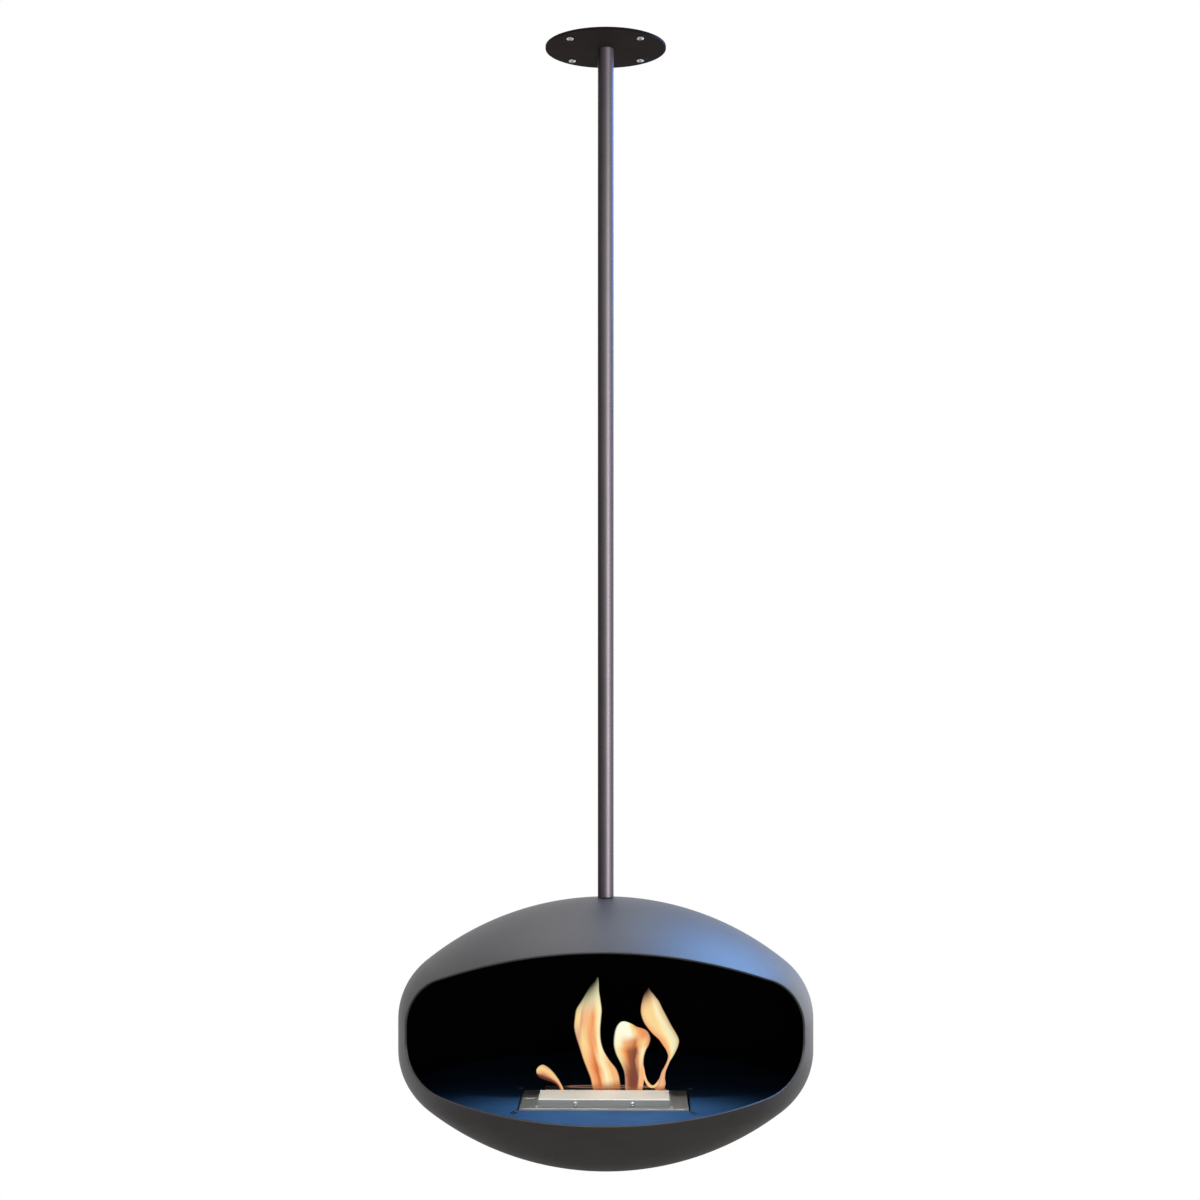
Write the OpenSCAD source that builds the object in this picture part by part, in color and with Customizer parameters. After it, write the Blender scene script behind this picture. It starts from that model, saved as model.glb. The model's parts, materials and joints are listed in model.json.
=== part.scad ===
// Suspended bioethanol fireplace: a dished steel pod that hangs from a ceiling pole and turns
// on it, with a lift-out burner and its sliding lid on a flat deck behind the wide mouth.
// Millimetres, +Z up, mouth towards -Y, origin at the middle of the ceiling plate's top face.

/* [Ceiling plate] */
// Diameter of the round ceiling plate
plate_d = 175; // [160:1:220]
// Thickness of the ceiling plate
plate_t = 4; // [3:0.5:8]
// Pitch circle diameter of the ceiling screw holes
plate_pcd = 142; // [110:1:158]
// Number of ceiling screw holes
plate_holes = 4; // [3:1:6]
// Diameter of each ceiling screw hole
plate_hole_d = 7; // [5:0.5:9]

/* [Pole] */
// Outside diameter of the pole
pole_d = 23; // [22:0.5:30]
// Wall thickness of the pole
pole_wall = 2; // [1.5:0.25:2.5]
// Length of the pole
pole_len = 1231; // [400:1:2000]
// Length of the spigot that the pole slides over at the ceiling
spigot_len = 80; // [75:1:140]
// Thread diameter of the screws that hold the pole on its spigot
pole_screw_d = 6; // [4:0.5:6]
// Depth of the first pole screw below the ceiling plate
pole_screw_drop = 22; // [14:1:34]
// Spacing of the two pole screws
pole_screw_pitch = 32; // [16:1:38]

/* [Swivel] */
// Length of the plug inside the pole's foot
plug_len = 32; // [20:1:60]
// Diameter of the swivel shaft below the plug
shaft_d = 16; // [12:0.5:16]
// Length of the shaft's thread below the thrust washer
shaft_tail = 26; // [25:1:34]
// Wall thickness of the bronze bush
bush_wall = 4; // [3:0.5:5]
// Outside diameter of the bush's flange
bush_flange_d = 38; // [34:1:44]
// Thickness of the bush's flange
bush_flange_t = 3; // [2:0.5:4]
// Clear space round the swivel nuts inside their cap
cap_gap = 6; // [3:0.5:10]
// Thickness of the thrust washer
washer_t = 2.5; // [1.5:0.5:4]
// Thickness of the slip washer between the pole's foot and the crown
slip_t = 1; // [0.5:0.25:2]
// Width across flats of the swivel nuts
nut_af = 24; // [22:1:26]
// Height of the swivel nut
nut_h = 13; // [10:0.5:14]
// Height of the lock nut
lock_h = 8; // [6:0.5:10]

/* [Pod] */
// Outside diameter of the pod
pod_d = 600; // [580:2:640]
// Height of the straight band between the two dished heads
band_h = 44; // [30:1:70]
// Outside radius of each head's crown
crown_r = 417; // [390:1:450]
// Outside radius of each head's knuckle
knuckle_r = 100; // [85:5:115]
// Thickness of the pod's sheet
shell_t = 3; // [2:0.25:4]
// Width of the backing strip behind the seam
strip_w = 30; // [16:1:36]
// Distance that the backing strip stops short of the mouth
strip_inset = 6; // [2:0.5:14]
// Thickness of the backing strip
strip_t = 2; // [1:0.5:4]
// Diameter of the dished doubler under the crown
doubler_d = 180; // [140:5:240]
// Thickness of the doubler's dished part
doubler_t = 5; // [3:0.5:8]
// Diameter of the doubler's flat seat for the swivel
seat_d = 104; // [98:1:124]
// Thickness of metal from the crown's inside to the flat seat, at the middle
seat_t = 12; // [9:0.5:16]

/* [Mouth] */
// Width of shell left beside the mouth, at its widest
mouth_rim = 20; // [18:1:50]
// Height of the mouth's top edge above the seam
mouth_top = 140; // [126:1:150]
// Radius of the mouth's long top arc
mouth_top_r = 600; // [520:10:900]
// Radius of the mouth's long bottom arc
mouth_bottom_r = 1300; // [900:20:2000]
// Radius of the mouth's upper corners
mouth_upper_r = 78; // [50:1:90]
// Radius of the mouth's lower corners
mouth_lower_r = 65; // [40:1:75]
// Rise of the mouth's bottom edge above the deck, at the middle
lip_rise = 0.5; // [0:0.25:4]

/* [Deck] */
// Depth of the deck's top face below the seam
deck_drop = 80; // [64:1:84]
// Thickness of the deck
deck_t = 3; // [2:0.5:4]
// Width of the ledge ring that carries the deck
ledge_w = 22; // [12:1:30]
// Thickness of the ledge ring
ledge_t = 3; // [2:0.5:5]
// Gap round the burner in the deck's cut-out
cutout_gap = 3; // [2:0.25:5]
// Spacing of the deck screws across the deck
deck_screw_x = 244; // [232:1:270]
// Spacing of the deck screws from front to back
deck_screw_y = 170; // [160:1:176]
// Thread diameter of the deck screws
deck_screw_d = 5; // [4:0.5:6]

/* [Burner] */
// Distance of the burner's middle in front of the pod's axis
burner_fwd = 108; // [80:1:112]
// Width of the burner's top tray
tray_w = 232; // [222:1:236]
// Depth of the burner's top tray
tray_depth = 128; // [124:1:140]
// Thickness of the burner's top tray
tray_t = 2; // [1.5:0.25:2.5]
// Height of the tray's top face above the deck
tray_proud = 2; // [1.75:0.25:5]
// Width of the burner slot
slot_w = 170; // [120:1:172]
// Distance of the slot's middle behind the burner's middle
slot_back = 25; // [22:1:38]
// Depth of the burner slot
slot_depth = 37; // [25:1:39]
// Wall thickness of the collar round the slot
collar_t = 2.5; // [2:0.25:4]
// Height of the collar above the tray
collar_h = 10; // [8:0.5:16]
// Width of the fuel box
box_w = 200; // [186:1:206]
// Depth of the fuel box
box_depth = 104; // [94:1:114]
// Height of the fuel box
box_h = 44; // [30:1:48]
// Thickness of the fuel box's sheet
box_t = 1.5; // [1:0.25:2]
// Distance from the fuel box's top down to the wick pad
wick_drop = 14; // [6:1:20]
// Thickness of the cradle's sheet
cradle_t = 1.5; // [1:0.25:2.5]
// Gap between the fuel box and the cradle that catches its drips
drip_gap = 3; // [2:0.5:5]

/* [Lid] */
// Depth of the sliding lid
lid_depth = 64; // [56:1:65]
// Thickness of the lid's sheet
lid_t = 1.5; // [1:0.25:2]
// Distance that the closed lid reaches past the collar
lid_lap = 1.5; // [0.5:0.25:4]
// Width of the foot along each lower edge of the lid
foot_w = 2.5; // [2:0.25:4]
// Thickness of the guide rails
rail_t = 1.5; // [1:0.25:2]
// Spacing of the two studs on the lid's front
stud_pitch = 78; // [40:1:140]
// Diameter of each stud's head
stud_d = 6; // [4:0.5:7]
// Distance that each stud stands proud
stud_proud = 2.5; // [1.5:0.25:4]
// Width of the shallow tool rest in the tray's left wing
rest_w = 14; // [6:0.5:16]
// Distance of the tool rest behind the lid's front
rest_inset = 8; // [2:1:14]
// Length of the tool rest
rest_len = 58; // [30:1:70]

/* [Clearances] */
// Gap round the swivel shaft in the crown's hole
crown_gap = 0.5; // [0.3:0.1:1.5]
// Gap between pieces that move on each other
run_gap = 0.3; // [0.2:0.05:0.5]
// Radial running clearance of the swivel shaft in its bush
shaft_gap = 0.05; // [0.02:0.01:0.1]
// Gap at welded or seated pieces
weld_gap = 0.1; // [0.05:0.05:0.3]
// Gap round the wick pad in its box
wick_gap = 0.5; // [0.3:0.1:0.8]
// Gap between the lid and the sides of the collar
lid_gap = 1; // [0.5:0.25:1.5]

/* [Hidden] */
$fn = 96;

// Colours
coat = [0.16, 0.16, 0.17];
coat_inside = [0.08, 0.08, 0.09];
steel = [0.72, 0.72, 0.70];
bronze = [0.72, 0.55, 0.30];
zinc = [0.80, 0.80, 0.78];
wool = [0.90, 0.88, 0.82];

// Facets along each stretch of the pod's profile and of the mouth's outline
crown_steps = 18;
knuckle_steps = 12;
corner_steps = 12;
long_steps = 14;
eps = 0.01;
// Distance that a cut runs past the face it opens
over = 1;

// Heights of the pod
half_band = band_h / 2;
knuckle_x = pod_d / 2 - knuckle_r;
crown_z = half_band - sqrt(pow(crown_r - knuckle_r, 2) - pow(knuckle_x, 2));
head_h = crown_z + crown_r;
join_a = atan2(knuckle_x, half_band - crown_z);
foot_gap = slip_t + 2 * run_gap;
pod_z = -(plate_t + pole_len + foot_gap + head_h);

// The pole's ends
pole_id = pole_d - 2 * pole_wall;
spigot_d = pole_id - 2 * weld_gap;
head_seat = 0.9;
screw_head_d = 1.75 * pole_screw_d;
screw_head_h = 0.5 * pole_screw_d;
screw_reach = 0.55 * pole_id;
screw_tip_gap = 1;

// Button heads: rim height, socket depth and socket width as shares of the head's size
head_steps = 6;
head_rim = 0.25;
socket_depth = 0.55;
socket_w = 0.42;

// The swivel, from the crown's inside downwards
crown_in = head_h - shell_t;
seat_z = crown_in - seat_t;
bush_od = shaft_d + 2 * shaft_gap + 2 * bush_wall;
flange_z = seat_z - weld_gap - bush_flange_t;
thrust_z = flange_z - run_gap - washer_t;
nut_z = thrust_z - weld_gap - nut_h;
lock_z = nut_z - weld_gap - lock_h;
shaft_z = thrust_z - shaft_tail;
// Corners of a nut are turned down to this share of its width across flats
nut_round = 1.11;
cap_t = 1.5;
cap_flange_d = seat_d - 4;
cap_in_r = max(bush_flange_d, nut_af / cos(30)) / 2 + cap_gap;
cap_z = shaft_z - cap_gap;
cap_round = 14;
cap_screw_d = 4;
cap_screw_head = 7.5;
cap_head_h = 2.2;
cap_screw_tip_gap = 1;
cap_screw_len = 7;
cap_screw_n = 3;
cap_pcd = cap_in_r + cap_t + cap_flange_d / 2;

// The deck and the burner
deck_z = -deck_drop;
deck_under = deck_z - deck_t;
lip_z = deck_z + lip_rise;
hole_gap = 0.25;
cut_w = tray_w + 2 * cutout_gap;
cut_depth = tray_depth + 2 * cutout_gap;
tray_z = deck_z + tray_proud;
tray_under = tray_z - tray_t;
rim_z = deck_under - weld_gap + run_gap;
flange_top = deck_under - weld_gap;
box_z = tray_under - weld_gap - box_h;
cradle_floor = box_z - drip_gap;
cradle_w = box_w + 2 * drip_gap;
cradle_depth = box_depth + 2 * drip_gap;
flange_edge = 9;
flange_w = deck_screw_x + deck_screw_d + 2 * flange_edge;
flange_depth = deck_screw_y + deck_screw_d + 2 * flange_edge;
wick_z = box_z + box_t + wick_gap;
wick_h = box_h - box_t - wick_gap - wick_drop;
deck_head_d = 1.8 * deck_screw_d;
deck_head_h = 0.5 * deck_screw_d;
deck_nut_af = 1.6 * deck_screw_d;
deck_nut_h = 0.8 * deck_screw_d;
deck_tail = 2;

// The lid, its guides and its stops
collar_w = slot_w + 2 * collar_t;
collar_depth = slot_depth + 2 * collar_t;
lid_w = collar_w + 2 * lid_gap + 2 * lid_t;
lid_under = tray_z + weld_gap + collar_h + run_gap;
lid_top = lid_under + lid_t;
lid_foot_z = tray_z + run_gap;
lid_back = slot_back - burner_fwd - slot_depth / 2;
lid_front = lid_back - lid_depth;
lid_travel = slot_depth + collar_t + lid_lap;
foot_t = 1.2;
foot_inset = 3.5;
rail_in = lid_w / 2 + foot_w + run_gap;
rail_lip_z = lid_foot_z + foot_t + run_gap;
stop_len = 3;
rail_front = lid_front - run_gap - stop_len;
rail_back = lid_back - foot_inset + lid_travel + run_gap + stop_len;
stud_z = (lid_foot_z + lid_top) / 2;
stud_shank = 0.55 * stud_d;
rest_depth = 0.8;

// Points of an arc about (x, y), from angle a to angle b
function arc(x, y, r, a, b, n) =
  [for (i = [0:n]) let (t = a + (b - a) * i / n) [x + r * cos(t), y + r * sin(t)]];

// Half profile of a dished head, set inwards by d: crown, knuckle, then straight band
function head_curve(d) = concat(
  arc(0, crown_z, crown_r - d, 90, 90 - join_a, crown_steps),
  arc(knuckle_x, half_band, knuckle_r - d, 90 - join_a, 0, knuckle_steps)
);

function reversed(v) = [for (i = [len(v) - 1:-1:0]) v[i]];
function flipped(v) = [for (p = reversed(v)) [-p[0], p[1]]];

// Right half of the mouth's outline, from bottom middle to top middle, arcs tangent throughout
function mouth_half() =
  let (
    half_w = pod_d / 2 - mouth_rim,
    bottom_c = lip_z + mouth_bottom_r,
    top_c = mouth_top - mouth_top_r,
    low_x = half_w - mouth_lower_r,
    high_x = half_w - mouth_upper_r,
    low_z = bottom_c - sqrt(pow(mouth_bottom_r - mouth_lower_r, 2) - pow(low_x, 2)),
    high_z = top_c + sqrt(pow(mouth_top_r - mouth_upper_r, 2) - pow(high_x, 2)),
    low_a = atan2(low_z - bottom_c, low_x),
    high_a = atan2(high_z - top_c, high_x)
  )
  concat(
    arc(0, bottom_c, mouth_bottom_r, -90, low_a, long_steps),
    arc(low_x, low_z, mouth_lower_r, low_a, 0, corner_steps),
    arc(high_x, high_z, mouth_upper_r, 0, high_a, corner_steps),
    arc(0, top_c, mouth_top_r, high_a, 90, long_steps)
  );

// Places a pod piece below the ceiling
module in_pod() {
  translate([0, 0, pod_z]) children();
}

// Solid inside of the upper head, set inwards by d from the pod's outside
module head_core(d) {
  rotate_extrude() polygon(concat(head_curve(d), [[pod_d / 2 - d, 0], [0, 0]]));
}

// Sheet of one head, from the seam up
module head_sheet() {
  rotate_extrude() polygon(concat(
    head_curve(0),
    [[pod_d / 2, 0], [pod_d / 2 - shell_t, 0]],
    reversed(head_curve(shell_t))
  ));
}

module mouth_cut() {
  rotate([90, 0, 0]) linear_extrude(height = pod_d)
    polygon(concat(mouth_half(), flipped(mouth_half())));
}

// Box w wide and d deep about the middle of the burner, from z0 up to z1
module burner_block(w, d, z0, z1) {
  translate([-w / 2, -burner_fwd - d / 2, z0]) cube([w, d, z1 - z0]);
}

// The same about the middle of the slot
module slot_block(w, d, z0, z1) {
  translate([0, slot_back, 0]) burner_block(w, d, z0, z1);
}

module at_deck_screws() {
  for (sx = [-1, 1], sy = [-1, 1])
    translate([sx * deck_screw_x / 2, sy * deck_screw_y / 2 - burner_fwd, 0]) children();
}

// Screw head with a domed top, standing on z = 0, with a hexagon socket
module button_head(d, h) {
  difference() {
    rotate_extrude() polygon(concat(
      [[0, 0]],
      [for (i = [0:head_steps]) let (a = 90 * i / head_steps)
        [d / 2 * cos(a), h * (head_rim + (1 - head_rim) * sin(a))]]
    ));
    translate([0, 0, h * (1 - socket_depth)]) cylinder(d = d * socket_w, h = h, $fn = 6);
  }
}

module ceiling_plate() {
  color(coat) difference() {
    translate([0, 0, -plate_t]) cylinder(d = plate_d, h = plate_t);
    for (i = [0:plate_holes - 1])
      rotate([0, 0, 45 + 360 * i / plate_holes])
        translate([plate_pcd / 2, 0, -plate_t - eps])
          cylinder(d = plate_hole_d, h = plate_t + 2 * eps);
  }
}

// Axis of each pole screw, from the middle of the pole towards the back
module at_pole_screws() {
  for (i = [0, 1])
    translate([0, 0, -plate_t - pole_screw_drop - i * pole_screw_pitch])
      rotate([-90, 0, 0]) children();
}

module pole_spigot() {
  color(steel) difference() {
    translate([0, 0, -plate_t - spigot_len]) cylinder(d = spigot_d, h = spigot_len);
    at_pole_screws() translate([0, 0, spigot_d / 2 - screw_reach])
      cylinder(d = pole_screw_d, h = screw_reach + eps);
  }
}

module pole() {
  color(coat) difference() {
    translate([0, 0, -plate_t - pole_len]) cylinder(d = pole_d, h = pole_len);
    translate([0, 0, -plate_t - pole_len - eps]) cylinder(d = pole_id, h = pole_len + 2 * eps);
    at_pole_screws() cylinder(d = pole_screw_d + 2 * hole_gap, h = pole_d);
    at_pole_screws() translate([0, 0, pole_d / 2 - head_seat])
      cylinder(d = screw_head_d + 2 * hole_gap, h = pole_d);
  }
}

module pole_screws() {
  color(coat_inside) at_pole_screws() {
    translate([0, 0, pole_d / 2 - head_seat]) button_head(screw_head_d, screw_head_h);
    translate([0, 0, spigot_d / 2 - screw_reach + screw_tip_gap])
      cylinder(
        d = pole_screw_d - 2 * weld_gap,
        h = (pole_d - spigot_d) / 2 - head_seat + screw_reach - screw_tip_gap + eps
      );
  }
}

module pole_foot() {
  color(steel) in_pod() {
    translate([0, 0, head_h + foot_gap]) cylinder(d = spigot_d, h = plug_len);
    translate([0, 0, shaft_z]) cylinder(d = shaft_d, h = head_h + foot_gap - shaft_z + eps);
  }
}

module slip_washer() {
  color(coat_inside) in_pod() translate([0, 0, head_h + run_gap]) difference() {
    cylinder(d = pole_d, h = slip_t);
    translate([0, 0, -eps]) cylinder(d = shaft_d + 2 * weld_gap, h = slip_t + 2 * eps);
  }
}

module thrust_washer() {
  color(zinc) in_pod() translate([0, 0, thrust_z]) difference() {
    cylinder(d = bush_flange_d, h = washer_t);
    translate([0, 0, -eps]) cylinder(d = shaft_d + 2 * weld_gap, h = washer_t + 2 * eps);
  }
}

// Hexagon nut of height h with its lower face at z, on the swivel shaft
module shaft_nut(z, h) {
  in_pod() translate([0, 0, z]) difference() {
    intersection() {
      cylinder(d = nut_af / cos(30), h = h, $fn = 6);
      cylinder(d = nut_round * nut_af, h = h);
    }
    translate([0, 0, -eps]) cylinder(d = shaft_d + 2 * weld_gap, h = h + 2 * eps);
  }
}

module swivel_nut() {
  color(zinc) shaft_nut(nut_z, nut_h);
}

module lock_nut() {
  color(zinc) shaft_nut(lock_z, lock_h);
}

module upper_shell() {
  color(coat) in_pod() difference() {
    head_sheet();
    mouth_cut();
    translate([0, 0, crown_z]) cylinder(d = shaft_d + 2 * crown_gap, h = 2 * crown_r);
  }
}

module lower_shell() {
  color(coat) in_pod() difference() {
    mirror([0, 0, 1]) head_sheet();
    mouth_cut();
  }
}

module seam_strip() {
  r = pod_d / 2 - shell_t - weld_gap;
  half_gap = pod_d / 2 - mouth_rim + strip_inset;
  color(coat_inside) in_pod() difference() {
    translate([0, 0, -strip_w / 2]) cylinder(r = r, h = strip_w);
    translate([0, 0, -strip_w / 2 - eps]) cylinder(r = r - strip_t, h = strip_w + 2 * eps);
    translate([-half_gap, -pod_d, -strip_w]) cube([2 * half_gap, pod_d, 2 * strip_w]);
  }
}

module crown_doubler() {
  color(coat_inside) in_pod() difference() {
    intersection() {
      head_core(shell_t + weld_gap);
      union() {
        difference() {
          translate([0, 0, half_band]) cylinder(d = doubler_d, h = head_h);
          head_core(shell_t + weld_gap + doubler_t);
        }
        translate([0, 0, seat_z]) cylinder(d = seat_d, h = seat_t);
      }
    }
    translate([0, 0, half_band]) cylinder(d = bush_od + 2 * weld_gap, h = head_h);
    at_cap_screws() translate([0, 0, seat_z - eps])
      cylinder(d = cap_screw_d + 2 * weld_gap, h = cap_screw_len);
  }
}

module swivel_bush() {
  color(bronze) in_pod() difference() {
    union() {
      translate([0, 0, flange_z]) cylinder(d = bush_flange_d, h = bush_flange_t);
      translate([0, 0, flange_z]) cylinder(d = bush_od, h = crown_in - 2 * run_gap - flange_z);
    }
    translate([0, 0, flange_z - eps]) cylinder(d = shaft_d + 2 * shaft_gap, h = head_h);
  }
}

module at_cap_screws() {
  for (i = [0:cap_screw_n - 1])
    rotate([0, 0, 360 * (i + 0.25) / cap_screw_n]) translate([cap_pcd / 2, 0, 0]) children();
}

// Domed cover over the swivel nuts, with a flange against the doubler's flat seat
module swivel_cap() {
  top = seat_z - weld_gap;
  out_r = cap_in_r + cap_t;
  round_x = out_r - cap_round;
  round_z = cap_z - cap_t + cap_round;
  color(coat_inside) in_pod() difference() {
    rotate_extrude() polygon(concat(
      [[0, cap_z - cap_t]],
      arc(round_x, round_z, cap_round, -90, 0, head_steps),
      [[out_r, top - cap_t], [cap_flange_d / 2, top - cap_t]],
      [[cap_flange_d / 2, top], [cap_in_r, top]],
      reversed(arc(round_x, round_z, cap_round - cap_t, -90, 0, head_steps)),
      [[0, cap_z]]
    ));
    at_cap_screws() translate([0, 0, top - 2 * cap_t])
      cylinder(d = cap_screw_d + 2 * hole_gap, h = 3 * cap_t);
  }
}

module cap_screws() {
  color(zinc) in_pod() at_cap_screws() {
    translate([0, 0, seat_z - weld_gap - cap_t]) mirror([0, 0, 1])
      button_head(cap_screw_head, cap_head_h);
    translate([0, 0, seat_z - weld_gap - cap_t - eps])
      cylinder(d = cap_screw_d, h = cap_screw_len + weld_gap + cap_t - cap_screw_tip_gap);
  }
}

// Slice of the lower head's inside, set inwards by d, from z0 up to z1
module deck_slice(d, z0, z1) {
  intersection() {
    mirror([0, 0, 1]) head_core(d);
    translate([0, 0, z0]) cylinder(d = pod_d, h = z1 - z0);
  }
}

function inside_r(z) = knuckle_x + sqrt(pow(knuckle_r - shell_t, 2) - pow(abs(z) - half_band, 2));

// Ring under the deck's rim, kept clear of the cradle's flange
module deck_ledge() {
  top = deck_under - weld_gap;
  color(coat_inside) in_pod() difference() {
    deck_slice(shell_t + weld_gap, top - ledge_t, top);
    translate([0, 0, top - 2 * ledge_t])
      cylinder(r = inside_r(top) - ledge_w, h = 3 * ledge_t);
    burner_block(
      flange_w + 2 * run_gap, flange_depth + 2 * run_gap, top - 2 * ledge_t, top + ledge_t
    );
  }
}

module deck() {
  color(coat) in_pod() difference() {
    deck_slice(shell_t + run_gap, deck_under, deck_z);
    burner_block(cut_w, cut_depth, deck_under - over, deck_z + over);
    at_deck_screws() translate([0, 0, deck_under - over])
      cylinder(d = deck_screw_d + 2 * hole_gap, h = deck_t + 2 * over);
  }
}

// Open tray under the deck: its flange carries the burner's rim and its floor catches drips
module burner_cradle() {
  wall = 2 * cradle_t;
  color(steel) in_pod() difference() {
    union() {
      burner_block(flange_w, flange_depth, flange_top - cradle_t, flange_top);
      burner_block(cradle_w + wall, cradle_depth + wall, cradle_floor - cradle_t, flange_top);
    }
    burner_block(cradle_w, cradle_depth, cradle_floor, flange_top + over);
    at_deck_screws() translate([0, 0, flange_top - 2 * cradle_t])
      cylinder(d = deck_screw_d + 2 * hole_gap, h = 3 * cradle_t);
  }
}

module deck_screws() {
  tail = deck_t + 2 * weld_gap + cradle_t + deck_nut_h + deck_tail;
  color(zinc) in_pod() at_deck_screws() {
    translate([0, 0, deck_z]) button_head(deck_head_d, deck_head_h);
    translate([0, 0, deck_z - tail]) cylinder(d = deck_screw_d, h = tail + eps);
  }
}

module deck_nuts() {
  color(zinc) in_pod() at_deck_screws()
    translate([0, 0, flange_top - cradle_t - weld_gap - deck_nut_h]) difference() {
      cylinder(d = deck_nut_af / cos(30), h = deck_nut_h, $fn = 6);
      translate([0, 0, -eps]) cylinder(d = deck_screw_d + 2 * weld_gap, h = deck_nut_h + 2 * eps);
    }
}

// Flat stainless tray with a turned-down rim, the slot's hole and a shallow rest for the lid tool
module burner_tray() {
  wing = (tray_w / 2 + rail_in + rail_t) / 2;
  color(steel) in_pod() difference() {
    burner_block(tray_w, tray_depth, rim_z, tray_z);
    burner_block(tray_w - 2 * tray_t, tray_depth - 2 * tray_t, rim_z - over, tray_under);
    slot_block(slot_w, slot_depth, rim_z - over, tray_z + over);
    translate([-wing - rest_w / 2, lid_front + rest_inset, tray_z - rest_depth])
      cube([rest_w, rest_len, tray_t]);
  }
}

module burner_collar() {
  color(steel) in_pod() difference() {
    slot_block(collar_w, collar_depth, tray_z + weld_gap, tray_z + weld_gap + collar_h);
    slot_block(slot_w, slot_depth, tray_z - over, tray_z + collar_h + over);
  }
}

module fuel_box() {
  color(steel) in_pod() difference() {
    burner_block(box_w, box_depth, box_z, box_z + box_h);
    burner_block(box_w - 2 * box_t, box_depth - 2 * box_t, box_z + box_t, box_z + box_h + over);
  }
}

module wick_pad() {
  inset = 2 * (box_t + wick_gap);
  color(wool) in_pod() burner_block(box_w - inset, box_depth - inset, wick_z, wick_z + wick_h);
}

// Pair of rails that hook over the lid's feet, each closed by a stop at both ends
module lid_guides() {
  web_h = rail_lip_z + rail_t - tray_z - weld_gap;
  length = rail_back - rail_front;
  lip_in = lid_w / 2 + run_gap;
  color(steel) in_pod() for (side = [0, 1]) mirror([side, 0, 0])
    translate([0, rail_front, tray_z + weld_gap]) {
      translate([rail_in, 0, 0]) cube([rail_t, length, web_h]);
      translate([lip_in, 0, web_h - rail_t]) cube([rail_in + rail_t - lip_in, length, rail_t]);
      for (y = [0, length - stop_len])
        translate([lip_in, y, 0]) cube([rail_in + rail_t - lip_in, stop_len, web_h]);
    }
}

// Folded lid, open below and behind, with a foot turned out along each side
module burner_lid() {
  skirt_h = lid_top - lid_foot_z;
  color(steel) in_pod() {
    difference() {
      translate([-lid_w / 2, lid_front, lid_foot_z]) cube([lid_w, lid_depth, skirt_h]);
      translate([-lid_w / 2 + lid_t, lid_front + lid_t, lid_foot_z - over])
        cube([lid_w - 2 * lid_t, lid_depth, skirt_h + over - lid_t]);
      for (sx = [-1, 1]) translate([sx * stud_pitch / 2, lid_front - over, stud_z])
        rotate([-90, 0, 0]) cylinder(d = stud_shank + 2 * weld_gap, h = lid_t + 2 * over);
    }
    for (side = [0, 1]) mirror([side, 0, 0])
      translate([lid_w / 2 - eps, lid_front, lid_foot_z])
        cube([foot_w + eps, lid_depth - foot_inset, foot_t]);
  }
}

module lid_studs() {
  inner_t = 1;
  color(zinc) in_pod() for (sx = [-1, 1])
    translate([sx * stud_pitch / 2, lid_front, stud_z]) rotate([90, 0, 0]) {
      translate([0, 0, weld_gap]) cylinder(d = stud_d, h = stud_proud);
      translate([0, 0, -lid_t - weld_gap - inner_t / 2])
        cylinder(d = stud_shank, h = lid_t + 2 * weld_gap + inner_t);
      translate([0, 0, -lid_t - weld_gap - inner_t]) cylinder(d = stud_d * 0.9, h = inner_t);
    }
}

ceiling_plate();
pole_spigot();
pole();
pole_screws();
pole_foot();
slip_washer();
thrust_washer();
swivel_nut();
lock_nut();
upper_shell();
lower_shell();
seam_strip();
crown_doubler();
swivel_bush();
swivel_cap();
cap_screws();
deck_ledge();
deck();
burner_cradle();
deck_screws();
deck_nuts();
burner_tray();
burner_collar();
fuel_box();
wick_pad();
lid_guides();
burner_lid();
lid_studs();
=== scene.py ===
"""Looks of a suspended bioethanol fireplace, built round its packed construction.

Metres, +Z up, mouth towards -Y, origin at the middle of the ceiling plate's top face.
"""
import json
import math
from functools import cache

import bmesh
import bpy
import numpy as np
from bpy.props import FloatProperty, FloatVectorProperty, IntProperty, PointerProperty
from bpy.types import Operator, Panel, PropertyGroup
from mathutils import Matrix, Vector


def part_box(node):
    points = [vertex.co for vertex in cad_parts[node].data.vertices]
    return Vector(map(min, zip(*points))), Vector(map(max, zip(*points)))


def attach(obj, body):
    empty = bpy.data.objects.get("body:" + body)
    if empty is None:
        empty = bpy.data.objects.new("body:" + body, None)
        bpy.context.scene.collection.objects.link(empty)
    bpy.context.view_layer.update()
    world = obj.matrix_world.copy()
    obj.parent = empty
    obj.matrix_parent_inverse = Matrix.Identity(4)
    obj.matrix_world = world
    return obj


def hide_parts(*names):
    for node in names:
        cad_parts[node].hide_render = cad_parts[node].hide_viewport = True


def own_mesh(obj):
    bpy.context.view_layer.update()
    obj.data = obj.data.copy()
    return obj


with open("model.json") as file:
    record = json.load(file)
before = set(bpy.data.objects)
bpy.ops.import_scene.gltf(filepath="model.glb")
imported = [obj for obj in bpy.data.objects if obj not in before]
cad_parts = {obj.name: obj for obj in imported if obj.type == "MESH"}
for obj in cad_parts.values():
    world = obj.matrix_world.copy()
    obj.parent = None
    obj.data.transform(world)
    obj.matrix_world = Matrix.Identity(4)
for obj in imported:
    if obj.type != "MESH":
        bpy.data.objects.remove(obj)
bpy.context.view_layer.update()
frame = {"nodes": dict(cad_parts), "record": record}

bl_info = {
    "name": "Suspended bioethanol fireplace",
    "version": (1, 0, 0),
    "blender": (4, 5, 0),
    "location": "3D View > Sidebar > Fireplace",
    "description": "Dresses a hanging pod fireplace with its sheet, steel, coats and flames",
    "category": "Object",
}

MM = 0.001
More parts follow.
